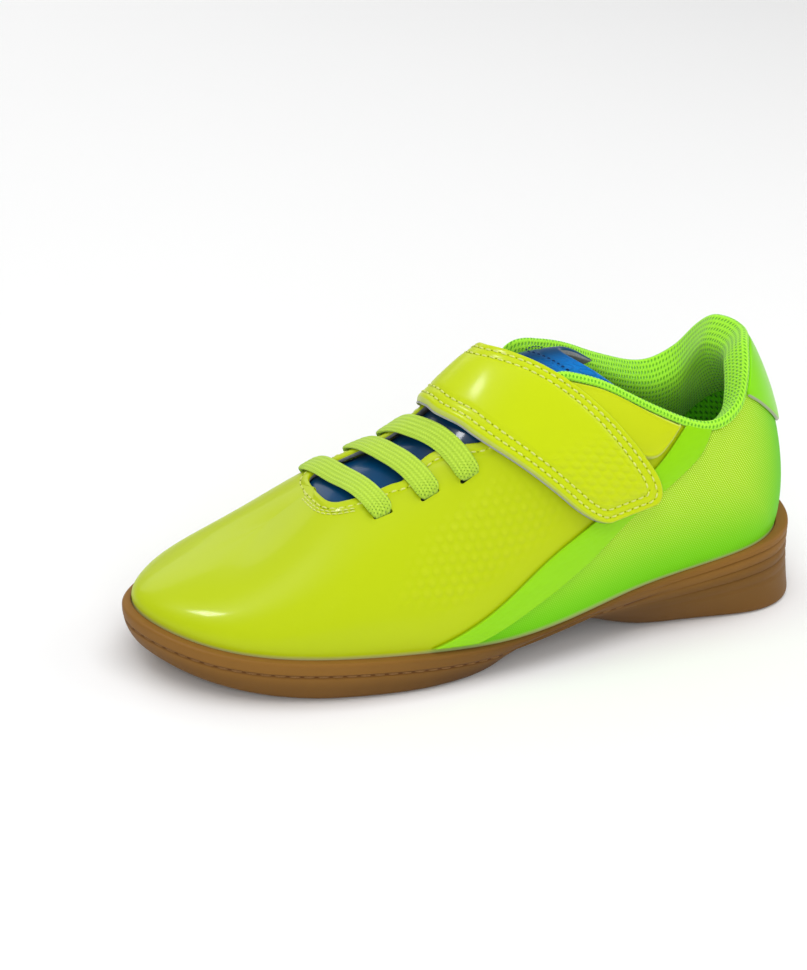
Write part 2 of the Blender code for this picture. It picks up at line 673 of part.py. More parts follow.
def build_tongue():
    """Padded tongue under the throat, its top standing out of the collar opening."""
    way = np.linspace(0.0, 1.0, 18)[:, None]
    side = np.linspace(-1.0, 1.0, 9)[None, :]
    width = table_curve(TONGUE, way, 2)
    g = side * width
    slant = TONGUE_SLANT_SHARE * np.abs(g) ** TONGUE_SLANT_EXPONENT
    u = table_curve(TONGUE, way, 1) - slant * smooth(way, 0.4, 1.0)
    deep = WALL + GAP + TONGUE_THICKNESS * table_curve(TONGUE, way, 3) + 0.0 * g
    outer = across_form(u, g, deep)
    thin = 1.0 - TONGUE_EDGE_SHARE * np.abs(side) ** 4
    inner = across_form(u, g, deep + TONGUE_THICKNESS * thin)
    return sheet_solid("tongue", outer, inner, material("navy_film", NAVY, 0.25))


def overlay_level():
    return GAP, GAP + OVERLAY_THICKNESS


def build_strap():
    """Closing strap: sewn down at the inner side of the sole, free end on the outer side."""
    low = GAP + OVERLAY_THICKNESS + GAP + FACET_ROOM
    high = low + STRAP_THICKNESS
    corner_start = STRAP_FREE_SHARE - STRAP_CORNER_SHARE
    turn = np.linspace(0.5, 0.0, 6) * math.pi
    corner = STRAP_CORNER_SHARE * (1.0 - np.cos(turn)) - STRAP_FREE_SHARE
    inner_side = np.linspace(STRAP_SEWN_SHARE, 0.0, 15)
    outer_side = np.linspace(0.0, -corner_start, 11)[1:-1]
    g = np.concatenate([inner_side, outer_side, corner])[:, None]
    rear = table_curve(STRAP_EDGES, g, 1)
    front = table_curve(STRAP_EDGES, g, 2)
    near_end = 1.0 - np.clip((STRAP_FREE_SHARE + g) / STRAP_CORNER_SHARE, 0.0, 1.0)
    pull = STRAP_PULL_SHARE * (1.0 - np.sqrt(1.0 - near_end**2))
    share = np.linspace(0.0, 1.0, 7)[None, :]
    u = rear + (front - rear) * (pull + (1.0 - 2.0 * pull) * share)
    outer = across_form(u, g + 0.0 * u, -high)
    inner = across_form(u, g + 0.0 * u, -low)
    return sheet_solid("strap", outer, inner, material("lime_strap", LIME, 0.3))


def straight_bar(outer_u, outer_g, inner_u, inner_g, way):
    """Stations and distances of a bar that runs straight, seen from above, between two slots."""
    g = -outer_g + (inner_g + outer_g) * way
    start = across_form(outer_u, -outer_g)
    line = across_form(inner_u, inner_g) - start
    low = np.full(way.shape, outer_u - 1.0)
    high = np.full(way.shape, inner_u + 1.0)
    for _ in range(HALVINGS):
        middle = (low + high) / 2
        place = across_form(middle, g) - start
        ahead = place[..., 0] * line[1] - place[..., 1] * line[0] > 0
        low = np.where(ahead, middle, low)
        high = np.where(ahead, high, middle)
    return (low + high) / 2, g


def build_lace(name, outer_u, outer_g, inner_u, inner_g):
    """One flat lace bar over the throat, from its outer slot to its inner slot."""
    way = np.linspace(0.0, 1.0, 13)
    u, g = straight_bar(outer_u, outer_g, inner_u, inner_g, way)
    middle = across_form(u, g, LACE_SINK * np.sin(way * math.pi) ** 2 - GAP)
    along = across_form(u - STATION_STEP, g) - across_form(u + STATION_STEP, g)
    path = np.gradient(middle, axis=0)
    path = path / np.linalg.norm(path, axis=-1, keepdims=True)
    wide = along - path * np.sum(along * path, -1, keepdims=True)
    wide = wide / np.linalg.norm(wide, axis=-1, keepdims=True)
    out = np.cross(path, wide)
    out = out * np.sign(out[:, 2:3])
    low = []
    high = []
    for share, thick in LACE_SECTION:
        centre = middle + wide * share * LACE_WIDTH / 2 + out * (LACE_LIFT + LACE_THICKNESS / 2)
        low.append(centre - out * thick * LACE_THICKNESS / 2)
        high.append(centre + out * thick * LACE_THICKNESS / 2)
    paint = material("lace_" + name, LACE_LIME, 0.8)
    return sheet_solid("lace_" + name, np.array(high), np.array(low), paint)


def build_overlay(name, t, h, paint):
    low, high = overlay_level()
    return sheet_solid(name, form(t, h, -high), form(t, h, -low), paint)


def build_heel_tab():
    """Shield over the back of the heel, from the collar seam down."""
    reach = HEEL_TAB[-1][0]
    columns = 2 * round(2 * reach * COLUMNS_PER_RIB) + 1
    t = np.linspace(-reach, reach, columns)[None, :]
    low = table_curve(HEEL_TAB, np.abs(t))
    top = share_at_height(t, seam_height(t) - TAB_INSET)
    share = np.linspace(0.0, 1.0, 5)[:, None]
    h = low + np.maximum(top - low, LEAST_SHARE) * share
    paint = material("green_synthetic", LIME_GREEN, 0.3)
    return build_overlay("heel_tab", t + 0.0 * h, h, paint)


def build_stripe(name, mirror):
    """Glossy stripe from the collar, under the strap, down to the sole."""
    way = np.linspace(0.0, len(STRIPE) - 1.0, 19)
    rows = [(float(k),) + row for k, row in enumerate(STRIPE)]
    front_u, front_h, rear_u, rear_h = (table_curve(rows, way, c) for c in (1, 2, 3, 4))
    share = np.linspace(0.0, 1.0, 4)[:, None]
    u = front_u + (rear_u - front_u) * share
    h = front_h + (rear_h - front_h) * share
    t = RIBS - u if mirror else u
    return build_overlay(name, t, h, material(name, LIME_GREEN, 0.3))


def build_panel(name, mirror):
    """Padded panel under the front half of the collar."""
    way = np.linspace(0.0, len(PANEL) - 1.0, 13)
    rows = [(float(k),) + row for k, row in enumerate(PANEL)]
    u = table_curve(rows, way, 1)[None, :]
    low = table_curve(rows, way, 2)[None, :]
    top = share_at_height(u, seam_height(u) - TAB_INSET)
    share = np.linspace(0.0, 1.0, 4)[:, None]
    h = low + np.maximum(top - low, LEAST_SHARE) * share
    t = RIBS - u if mirror else u
    return build_overlay(name, t + 0.0 * h, h, material(name, LIME, 0.3))


def main():
    clear_scene()
    build_outsole()
    build_insole()
    build_upper()
    build_collar_pad()
    build_tongue()
    build_strap()
    for row in LACES:
        build_lace(*row)
    build_heel_tab()
    build_stripe("stripe_lateral", False)
    build_stripe("stripe_medial", True)
    build_panel("panel_lateral", False)
    build_panel("panel_medial", True)


main()
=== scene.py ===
import math

import bmesh
import bpy
import numpy as np
from mathutils import Matrix
from mathutils.kdtree import KDTree


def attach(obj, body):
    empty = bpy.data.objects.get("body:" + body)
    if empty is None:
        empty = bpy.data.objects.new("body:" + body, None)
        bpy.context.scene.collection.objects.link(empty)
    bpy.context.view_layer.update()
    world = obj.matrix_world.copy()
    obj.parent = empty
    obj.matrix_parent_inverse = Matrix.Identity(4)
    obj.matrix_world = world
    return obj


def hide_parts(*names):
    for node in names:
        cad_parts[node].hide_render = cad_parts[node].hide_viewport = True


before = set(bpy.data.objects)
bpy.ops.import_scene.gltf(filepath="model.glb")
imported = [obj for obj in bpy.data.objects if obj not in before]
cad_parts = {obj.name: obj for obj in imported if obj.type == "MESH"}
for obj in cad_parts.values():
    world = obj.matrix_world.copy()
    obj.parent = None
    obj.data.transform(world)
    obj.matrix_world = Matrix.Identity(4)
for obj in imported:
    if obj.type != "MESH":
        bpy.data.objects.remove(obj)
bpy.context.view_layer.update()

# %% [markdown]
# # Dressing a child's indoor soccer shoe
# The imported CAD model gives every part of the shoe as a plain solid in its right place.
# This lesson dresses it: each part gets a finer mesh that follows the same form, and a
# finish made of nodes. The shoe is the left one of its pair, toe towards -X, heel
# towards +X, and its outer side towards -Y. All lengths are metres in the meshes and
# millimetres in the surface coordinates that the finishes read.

MM = 0.001

# %% [markdown]
# ## The form of the shoe
# A real upper is pulled over a last, a solid foot shape. Here the last is a ring of 24
# ribs: each starts at the feather edge, where the upper meets the sole, and bends up to
# the ridge line over the instep. A free sculpt would also do, but with ribs every piece
# can be placed by three numbers: rib t, height share h and depth below the outer face.

# %% Sizes and tables of the form
SOLE_LENGTH, BALL_WIDTH, HEEL_WIDTH = 0.205, 0.0715, 0.0523
INSTEP_HEIGHT, TOE_BOX_HEIGHT = 0.0900, 0.0365
HEEL_COLLAR_HEIGHT, SIDE_COLLAR_HEIGHT = 0.0812, 0.0625
SEAT_HEIGHT, TOE_SPRING, ARCH_RISE = 0.024, 0.0065, 0.0085
MIDDLE_ALONG = 0.0068 * SOLE_LENGTH / 2
MIDDLE_ACROSS = -0.0218 * BALL_WIDTH / 2
GAP, WALL, FACET_ROOM = 0.0003, 0.0022, 0.0002
FOREFOOT_SOLE, HEEL_SOLE, SOLE_LEDGE = 0.0050, 0.0150, 0.0030
RIBS, TOE_RIB = 24, 12
HALVINGS, RIB_STEP = 24, 1e-3
HEEL_NARROWS, FLOOR_RISES = (-0.10, 0.50), (-0.25, 0.55)
# along, across, up, swell, rise, shoulder, ledge, tread
FEATHER = [
    (0.961, 0.00, 1.02, 0.12, 0.35, 0.54, 1.30, 1.95),
    (0.912, -0.59, 1.00, 0.12, 0.35, 0.54, 1.30, 2.00),
    (0.790, -0.94, 0.96, 0.08, 0.35, 0.62, 0.70, 0.15),
    (0.615, -1.02, 0.85, 0.06, 0.35, 0.60, 0.60, -1.20),
    (0.420, -1.07, 0.73, 0.05, 0.36, 0.52, 0.55, -2.10),
    (0.215, -1.06, 0.58, 0.04, 0.36, 0.51, 0.55, -2.40),
    (0.000, -1.00, 0.46, 0.04, 0.36, 0.47, 0.70, -1.40),
    (-0.224, -1.01, 0.48, 0.05, 0.40, 0.42, 1.00, 0.10),
    (-0.449, -0.99, 0.54, 0.06, 0.50, 0.50, 1.00, 0.00),
    (-0.654, -0.87, 0.58, 0.07, 0.50, 0.50, 1.00, -0.30),
    (-0.820, -0.62, 0.63, 0.07, 0.50, 0.50, 1.00, -0.45),
    (-0.932, -0.25, 0.69, 0.06, 0.50, 0.50, 1.00, -0.55),
    (-0.971, 0.12, 0.73, 0.05, 0.44, 0.50, 1.00, -0.55),
    (-0.917, 0.45, 0.71, 0.06, 0.38, 0.50, 0.55, -0.70),
    (-0.800, 0.73, 0.67, 0.07, 0.38, 0.50, 0.50, -0.60),
    (-0.624, 0.89, 0.62, 0.07, 0.38, 0.50, 0.80, -0.30),
    (-0.420, 0.97, 0.58, 0.06, 0.38, 0.50, 1.00, 0.00),
    (-0.215, 0.88, 0.54, 0.05, 0.40, 0.42, 1.00, 0.00),
    (0.000, 0.77, 0.54, 0.05, 0.36, 0.47, 0.70, -1.00),
    (0.215, 0.80, 0.62, 0.08, 0.36, 0.51, 0.55, -1.50),
    (0.420, 0.90, 0.75, 0.08, 0.36, 0.52, 0.55, -1.40),
    (0.615, 0.97, 0.87, 0.07, 0.35, 0.60, 0.60, -0.80),
    (0.790, 0.91, 0.96, 0.08, 0.35, 0.62, 0.70, 0.15),
    (0.912, 0.57, 1.00, 0.12, 0.35, 0.54, 1.30, 2.00),
]
# along, across, up, pitch of the ridge line, heel first
RIDGE = [
    (0.585, 0.00, 1.11, 0.00), (0.566, 0.00, 1.11, 0.00), (0.527, 0.00, 1.10, 0.02),
    (0.468, 0.00, 1.07, 0.08), (0.351, 0.01, 1.00, 0.20), (0.176, 0.03, 0.983, 0.32),
    (-0.010, 0.04, 0.889, 0.74), (-0.185, 0.05, 0.700, 0.75), (-0.351, 0.06, 0.602, 0.56),
    (-0.488, 0.08, 0.508, 0.60), (-0.571, 0.10, 1.08, 0.62), (-0.605, 0.10, 1.02, 0.58),
    (-0.617, 0.10, 1.00, 0.56),
]
CAP_STATION = 10
# along, share of toe spring, share of arch rise under the sole
UNDERSIDE = [
    (-1.000, 1.00, 0.00), (-0.900, 0.60, 0.00), (-0.800, 0.35, 0.00), (-0.700, 0.16, 0.00),
    (-0.600, 0.04, 0.00), (-0.540, 0.00, 0.00), (-0.120, 0.00, 0.00), (-0.050, 0.00, 0.13),
    (0.000, 0.00, 0.38), (0.080, 0.00, 0.68), (0.150, 0.00, 0.92), (0.215, 0.00, 1.00),
    (0.300, 0.00, 0.78), (0.380, 0.00, 0.40), (0.460, 0.00, 0.10), (0.540, 0.00, 0.00),
    (0.920, 0.00, 0.00), (1.050, 0.00, 0.20),
]

# %% Curves through tables
def ring_spline(rows):
    """Values and second derivatives of a closed cubic spline, one knot a row."""
    values = np.asarray(rows, float)
    count = len(values)
    matrix = 4.0 * np.eye(count) + np.roll(np.eye(count), 1, 0) + np.roll(np.eye(count), -1, 0)
    bend = 6.0 * (np.roll(values, 1, 0) - 2.0 * values + np.roll(values, -1, 0))
    return values, np.linalg.solve(matrix, bend)


def ring_value(spline, t):
    values, second = spline
    count = len(values)
    t = np.asarray(t, float) % count
    low = np.floor(t).astype(int) % count
    high = (low + 1) % count
    b = (t - np.floor(t))[..., None]
    a = 1.0 - b
    curve = (a**3 - a) * second[low] + (b**3 - b) * second[high]
    return a * values[low] + b * values[high] + curve / 6.0


def table_curve(rows, x, column=1):
    """Smooth curve through the rows of a table, by Hermite pieces."""
    table = sorted((row[0], row[column]) for row in rows)
    xs = np.array([row[0] for row in table], float)
    ys = np.array([row[1] for row in table], float)
    slope = np.gradient(ys, xs)
    x = np.clip(np.asarray(x, float), xs[0], xs[-1])
    i = np.clip(np.searchsorted(xs, x) - 1, 0, len(xs) - 2)
    step = xs[i + 1] - xs[i]
    f = (x - xs[i]) / step
    start = (1 + 2 * f) * (1 - f) ** 2 * ys[i] + f * (1 - f) ** 2 * step * slope[i]
    end = f * f * (3 - 2 * f) * ys[i + 1] + f * f * (f - 1) * step * slope[i + 1]
    return start + end


def smooth(x, low, high):
    """Soft step from 0 at low to 1 at high."""
    f = np.clip((np.asarray(x, float) - low) / (high - low), 0.0, 1.0)
    return f * f * (3.0 - 2.0 * f)


def bell(x, at, width, height=1.0):
    """Soft hump or furrow round one value of x."""
    return height * np.exp(-(((x - at) / width) ** 2))


def quarter_round(share):
    """Rises like a quarter circle, steep at 0 and level at 1."""
    return np.sqrt(np.clip(1.0 - (1.0 - np.clip(share, 0.0, 1.0)) ** 2, 0.0, 1.0))


def unit(vectors):
    return vectors / np.linalg.norm(vectors, axis=-1, keepdims=True)

# %% The form itself
def half_width(along):
    rear = smooth(along, *HEEL_NARROWS)
    return 0.5 * (BALL_WIDTH * (1.0 - rear) + HEEL_WIDTH * rear)


def feather_rows():
    rows = []
    for along, across, up, swell, rise, shoulder, ledge, tread in FEATHER:
        x = along * SOLE_LENGTH / 2 - MIDDLE_ALONG
        y = across * float(half_width(along)) - MIDDLE_ACROSS
        sole = (ledge * SOLE_LEDGE, tread * SOLE_LEDGE)
        rows.append((x, y, up * SEAT_HEIGHT, swell, rise, shoulder, *sole))
    return rows


def ridge_rows():
    stations = []
    for number, (along, across, up, pitch) in enumerate(RIDGE):
        tall = TOE_BOX_HEIGHT if number >= CAP_STATION else INSTEP_HEIGHT
        x = along * SOLE_LENGTH / 2 - MIDDLE_ALONG
        stations.append((x, across * BALL_WIDTH / 2 - MIDDLE_ACROSS, up * tall, pitch))
    return stations + stations[-2:0:-1]


FEATHER_SPLINE = ring_spline(feather_rows())
RIDGE_SPLINE = ring_spline(ridge_rows())


def station(t):
    """Ridge station of a rib: 0 at the heel, 12 at the toe, alike on both sides."""
    return TOE_RIB - np.abs(TOE_RIB - np.asarray(t, float) % RIBS)


def feather(t, inset=0.0):
    """Point of the feather edge, moved level inwards by the inset."""
    here = ring_value(FEATHER_SPLINE, t)
    ahead, behind = (ring_value(FEATHER_SPLINE, t + step) for step in (RIB_STEP, -RIB_STEP))
    tangent = unit((ahead - behind)[..., :2])
    inset = np.asarray(inset, float)[..., None] * np.ones_like(tangent)
    inward = np.stack([tangent[..., 1], -tangent[..., 0]], -1)
    return np.concatenate([here[..., :2] + inward * inset, here[..., 2:3]], -1)


def form(t, h, inset=0.0):
    """Point of the form: rib t, height share h, depth inset below the outer face."""
    t, h, inset = np.broadcast_arrays(*(np.asarray(v, float) for v in (t, h, inset)))
    foot = feather(t, inset)
    shape = ring_value(FEATHER_SPLINE, t)
    swell, rise, shoulder = shape[..., 3], shape[..., 4], shape[..., 5]
    ridge = ring_value(RIDGE_SPLINE, t)
    top = ridge[..., 2] - inset
    reach = ridge[..., :2] - foot[..., :2]
    arrive = 1.0 - ridge[..., 3] * reach[..., 0] * shoulder / (top - foot[..., 2])
    a = 1.0 - h
    out = a**3 + 3 * a * a * h * (1.0 + swell) + 3 * a * h * h * shoulder
    up = 3 * a * a * h * rise + 3 * a * h * h * arrive + h**3
    level = ridge[..., :2] - reach * out[..., None]
    height = foot[..., 2] + (top - foot[..., 2]) * up
    return np.concatenate([level, height[..., None]], -1)


def across_form(u, g, inset=0.0):
    """Point by ridge station and signed distance from the ridge: outer side g < 0."""
    u, g, inset = np.broadcast_arrays(*(np.asarray(v, float) for v in (u, g, inset)))
    return form(np.where(g < 0, u, RIBS - u), 1.0 - np.abs(g), inset)


def share_at_height(t, z):
    """Height share at which rib t reaches height z."""
    low = np.zeros_like(np.asarray(t, float) + np.asarray(z, float))
    high = np.ones_like(low)
    for _ in range(HALVINGS):
        middle = 0.5 * (low + high)
        below = form(t, middle)[..., 2] < z
        low = np.where(below, middle, low)
        high = np.where(below, high, middle)
    return 0.5 * (low + high)


def along_share(x):
    return (x + MIDDLE_ALONG) / (SOLE_LENGTH / 2)


def toe_spring(along):
    return table_curve(UNDERSIDE, along, 1) * TOE_SPRING


def underside(x):
    """Height of the sole's underside at a place along the shoe."""
    along = along_share(x)
    arch = table_curve(UNDERSIDE, along, 2) * ARCH_RISE
    return np.maximum(toe_spring(along) + arch, 0.0)


def inner_floor(x):
    """Height of the sole's floor, under the footbed."""
    along = along_share(x)
    heel_rise = (HEEL_SOLE - FOREFOOT_SOLE) * smooth(along, *FLOOR_RISES)
    return FOREFOOT_SOLE + toe_spring(along) + heel_rise


print("ridge over the instep at", np.round(form(5.0, 1.0) / MM, 1), "mm")

# %% [markdown]
# ## From numbers to meshes
# Each piece is a grid of points bent over the form, so one helper joins grids into closed
# meshes. It also writes surface coordinates in millimetres and masks on the points, as
# named attributes. The finishes read them, so a knit runs along its own piece and keeps
# its real scale, which an object's generated coordinates wouldn't do.

# %% Grids and attributes
SHARP_ANGLE, MERGE_DISTANCE = 40.0, 1.5e-5
FAR, TINY = 1e9, 1e-12


def grid_faces(rows, columns, start=0, wrap=False):
    """Four-sided faces between the points of a grid, row by row."""
    across = np.arange(columns if wrap else columns - 1)
    i, j = np.meshgrid(np.arange(rows - 1), across, indexing="ij")
    k = (j + 1) % columns
    corners = [i * columns + j, i * columns + k, (i + 1) * columns + k, (i + 1) * columns + j]
    return (start + np.stack(corners, -1).reshape(-1, 4)).tolist()


def tube_faces(sides, columns):
    """Faces of a swept section: closed round its sides and at both ends."""
    back = (sides - 1) * columns
    faces = grid_faces(sides, columns)
    faces += [[back + i, back + i + 1, i + 1, i] for i in range(columns - 1)]
    return faces + [[k * columns + i for k in range(sides)] for i in (0, columns - 1)]


def set_marks(mesh, marks):
    for name, values in marks.items():
        values = np.asarray(values, float)
        kind, field = ("FLOAT_VECTOR", "vector") if values.ndim == 2 else ("FLOAT", "value")
        mesh.attributes.new(name, kind, "POINT").data.foreach_set(field, values.ravel())


def make_piece(name, points, faces, marks, finishes, face_finish=None,
               sharp=SHARP_ANGLE, merge=MERGE_DISTANCE):
    """One mesh object that rides on the shoe, its faces turned out."""
    mesh = bpy.data.meshes.new(name)
    mesh.from_pydata(np.asarray(points, float).tolist(), [], faces)
    set_marks(mesh, marks)
    if face_finish is not None:
        mesh.polygons.foreach_set("material_index", np.asarray(face_finish, int))
    work = bmesh.new()
    work.from_mesh(mesh)
    bmesh.ops.remove_doubles(work, verts=work.verts, dist=merge)
    loose = [v for v in work.verts if not v.link_faces]
    bmesh.ops.delete(work, geom=loose, context="VERTS")
    bmesh.ops.recalc_face_normals(work, faces=work.faces)
    work.to_mesh(mesh)
    work.free()
    mesh.shade_smooth()
    mesh.set_sharp_from_angle(angle=math.radians(sharp))
    for finish in finishes:
        mesh.materials.append(finish)
    piece = bpy.data.objects.new(name, mesh)
    bpy.context.scene.collection.objects.link(piece)
    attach(piece, "root")
    print(name, len(mesh.polygons), "faces")
    return piece

# %% Closed sheets
def closed_sheet(name, outer, inner, marks, finishes, inner_finish=0):
    """A sheet between two equal grids of points, closed round its border."""
    rows, columns = outer.shape[:2]
    back = rows * columns
    faces = grid_faces(rows, columns)
    faces += [face[::-1] for face in grid_faces(rows, columns, back)]
    border = list(range(columns)) + [i * columns + columns - 1 for i in range(1, rows)]
    border += [(rows - 1) * columns + j for j in range(columns - 2, -1, -1)]
    border += [i * columns for i in range(rows - 2, 0, -1)]
    for a, b in zip(border, border[1:] + border[:1]):
        faces.append([b, a, back + a, back + b])
    side = (rows - 1) * (columns - 1)
    choice = [0] * side + [inner_finish] * side + [inner_finish] * len(border)
    points = np.concatenate([outer.reshape(-1, 3), inner.reshape(-1, 3)])
    doubled = {}
    for key, values in marks.items():
        values = np.asarray(values, float)
        flat = values.reshape(-1, 3) if values.ndim == 3 else values.reshape(-1)
        doubled[key] = np.concatenate([flat, flat])
    return make_piece(name, points, faces, doubled, finishes, choice)

# %% Lengths and edges on a grid
def run_length(points, axis):
    """Running length in mm along one direction of a grid of points."""
    step = np.linalg.norm(np.diff(points, axis=axis), axis=-1)
    start = np.zeros_like(np.take(step, [0], axis))
    return np.concatenate([start, np.cumsum(step, axis)], axis) / MM


def ends_fine(count):
    """Shares from 0 to 1 that lie closer together towards both ends."""
    return 0.5 - 0.5 * np.cos(np.linspace(0.0, math.pi, count))


def border_distance(flat):
    """Distance in mm of every point of a flat grid from the grid's border."""
    ring = np.concatenate([flat[0], flat[1:, -1], flat[-1, -2::-1], flat[-2:0:-1, 0]])
    ends = np.roll(ring, -1, 0)
    points = flat.reshape(-1, 2)
    least = np.full(len(points), FAR)
    for a, b in zip(ring, ends):
        line = b - a
        size = max(float(line @ line), TINY)
        way = np.clip((points - a) @ line / size, 0.0, 1.0)
        gap = points - a - way[:, None] * line
        least = np.minimum(least, np.hypot(gap[:, 0], gap[:, 1]))
    return least.reshape(flat.shape[:2])


def flat_grid(points):
    """A grid laid flat: length along its middle row, and width from its middle row."""
    middle = points.shape[0] // 2
    along = run_length(points[middle:middle + 1], 1)[0]
    across = run_length(points, 0)
    across = across - across[middle]
    return np.stack([along[None, :] + 0.0 * across, across], -1)


def surface_place(along, across):
    """Surface coordinates in mm as a mark: along the piece, and up or across it."""
    along, across = np.broadcast_arrays(along, across)
    return np.stack([along, across, np.zeros(across.shape)], -1)


def edge_fall(distance, radius, drop):
    """How much lower a rounded edge lies, by distance from the border, in metres."""
    return drop * (1.0 - quarter_round(distance * MM / radius))

# %% [markdown]
# ## Camera
# The photograph looks down on the shoe's outer side from 27 degrees, with the toe to the
# left, through a long lens. The camera could be set by eye, but small errors of angle
# show in every part, so this one was fitted to points of the sole's outline.

# %% Camera
AZIMUTH, ELEVATION, ROLL = math.radians(-24.85), math.radians(27.28), math.radians(3.84)
DISTANCE, FOCAL_PIXELS, SHIFT_RIGHT, SHIFT_UP = 0.9992, 3417.2, 0.01632, -0.03781
LONG_SIDE_PIXELS = 970
ca, sa = math.cos(AZIMUTH), math.sin(AZIMUTH)
ce, se = math.cos(ELEVATION), math.sin(ELEVATION)
back_axis = np.array([sa * ce, -ca * ce, se])
right_axis = np.array([ca, sa, 0.0])
up_axis = np.cross(back_axis, right_axis)
turned_right = math.cos(ROLL) * right_axis + math.sin(ROLL) * up_axis
turned_up = -math.sin(ROLL) * right_axis + math.cos(ROLL) * up_axis
axes = np.stack([turned_right, turned_up, back_axis], 1)
place = axes @ np.array([-SHIFT_RIGHT, -SHIFT_UP, DISTANCE])
place = place - np.array([MIDDLE_ALONG, MIDDLE_ACROSS, 0.0])
lens = bpy.data.cameras.new("camera")
lens.sensor_width = 36.0
lens.lens = FOCAL_PIXELS * lens.sensor_width / LONG_SIDE_PIXELS
camera = bpy.data.objects.new("camera", lens)
camera.matrix_world = Matrix.Translation(place.tolist()) @ Matrix(axes.tolist()).to_4x4()
bpy.context.scene.collection.objects.link(camera)
bpy.context.scene.camera = camera
print("camera at", np.round(place, 3), "lens", round(lens.lens, 1), "mm")

# %% [markdown]
# ## Writing finishes as arithmetic
# A finish is a network of nodes. Wired by hand it is slow to read, so one small class
# wraps a socket and lets Python's own operators add the Math nodes. Colours and vectors
# go through Mix and Vector Math, because a Math node turns a colour grey.

# %% Sockets with arithmetic
PAINT_LEVEL, SOFT_SHINE = 0.80, 0.14


class Wire:
    """One output socket of a finish; arithmetic on it adds Math nodes."""

    def __init__(self, finish, socket):
        self.finish = finish
        self.socket = socket

    def math(self, operation, *others):
        values = dict(enumerate((self, *others)))
        return self.finish.node("ShaderNodeMath", {"operation": operation}, values)

    def __add__(self, other): return self.math("ADD", other)
    def __radd__(self, other): return self.math("ADD", other)
    def __sub__(self, other): return self.math("SUBTRACT", other)
    def __rsub__(self, other): return self.finish.value_math("SUBTRACT", other, self)
    def __mul__(self, other): return self.math("MULTIPLY", other)
    def __rmul__(self, other): return self.math("MULTIPLY", other)
    def __truediv__(self, other): return self.math("DIVIDE", other)
    def __rtruediv__(self, other): return self.finish.value_math("DIVIDE", other, self)

    def fraction(self): return self.math("FRACT")
    def least(self, other): return self.math("MINIMUM", other)
    def wave(self): return self.math("SINE")
    def root(self): return self.math("SQRT")

    def ramp(self, low, high, start=0.0, end=1.0):
        """Smooth step from start to end as the value goes from low to high."""
        settings = {"interpolation_type": "SMOOTHSTEP", "clamp": True}
        values = {"Value": self, "From Min": low, "From Max": high}
        values.update({"To Min": start, "To Max": end})
        return self.finish.node("ShaderNodeMapRange", settings, values)


class Finish:
    """A material under construction."""

    def __init__(self, name):
        self.material = bpy.data.materials.new(name)
        self.material.use_nodes = True
        self.tree = self.material.node_tree
        self.tree.nodes.clear()
        self.read = {}

    def node(self, kind, settings=None, values=None, out=0):
        """Any node: its settings first, then numbers or links for its sockets."""
        made = self.tree.nodes.new(kind)
        for key, value in (settings or {}).items():
            setattr(made, key, value)
        for key, value in (values or {}).items():
            if isinstance(value, Wire):
                self.tree.links.new(value.socket, made.inputs[key])
            else:
                made.inputs[key].default_value = value
        return Wire(self, made.outputs[out]) if len(made.outputs) else made

    def value_math(self, operation, first, second):
        return self.node("ShaderNodeMath", {"operation": operation}, {0: first, 1: second})

    def mark(self, name, out="Fac"):
        """A number or vector that was written on the mesh."""
        if name not in self.read:
            settings = {"attribute_name": name}
            self.read[name] = self.node("ShaderNodeAttribute", settings, {}, out)
        return self.read[name]

    def parts(self, vector):
        split = self.node("ShaderNodeSeparateXYZ", {}, {0: vector})
        outputs = split.socket.node.outputs
        return [Wire(self, outputs[k]) for k in range(3)]

    def place(self):
        """Surface coordinates in mm: along the piece, and up or across it."""
        return self.parts(self.mark("place", "Vector"))[:2]

    def mix(self, share, first, second):
        """Colour that goes from first to second."""
        values = {0: share, 6: first, 7: second}
        return self.node("ShaderNodeMix", {"data_type": "RGBA"}, values, 2)

    def noise(self, size, detail=2.0):
        """Soft random value from 0 to 1; size is its scale in mm."""
        where = self.node("ShaderNodeTexCoord", {}, {}, "Object")
        values = {"Vector": where, "Scale": 1.0 / (size * MM), "Detail": detail}
        return self.node("ShaderNodeTexNoise", {}, values)

    def bump(self, height):
        """Normal from a height in mm."""
        return self.node("ShaderNodeBump", {}, {"Strength": 1.0, "Distance": MM, "Height": height})

    def close(self, colour, roughness, height=None, coat=None, **fixed):
        """Ends the finish: a shader with its colour, roughness and relief."""
        values = {"Base Color": colour, "Roughness": roughness}
        values["Specular IOR Level"] = SOFT_SHINE
        if height is not None:
            values["Normal"] = self.bump(height)
        if coat is not None:
            values["Coat Weight"] = coat
        for key, value in fixed.items():
            values[key.replace("_", " ")] = value
        surface = self.node("ShaderNodeBsdfPrincipled", {}, values)
        self.node("ShaderNodeOutputMaterial", {}, {"Surface": surface})
        return self.material


def paint(red, green, blue, level=PAINT_LEVEL):
    """Linear colour with alpha, by the sRGB curve, from a screen colour of 0 to 255."""
    share = np.array([red, green, blue]) / 255.0
    linear = np.where(share <= 0.04045, share / 12.92, ((share + 0.055) / 1.055) ** 2.4)
    return (*(float(v) * level for v in linear), 1.0)


def nearest_dot(x, y, pitch):
    """Distance in mm from the nearest point of a staggered lattice."""
    tall = pitch * math.sqrt(3.0)
    best = None
    for shift in (0.0, 0.5):
        dx = ((x / pitch + shift + 0.5).fraction() - 0.5) * pitch
        dy = ((y / tall + shift + 0.5).fraction() - 0.5) * tall
        distance = (dx * dx + dy * dy).root()
        best = distance if best is None else best.least(distance)
    return best

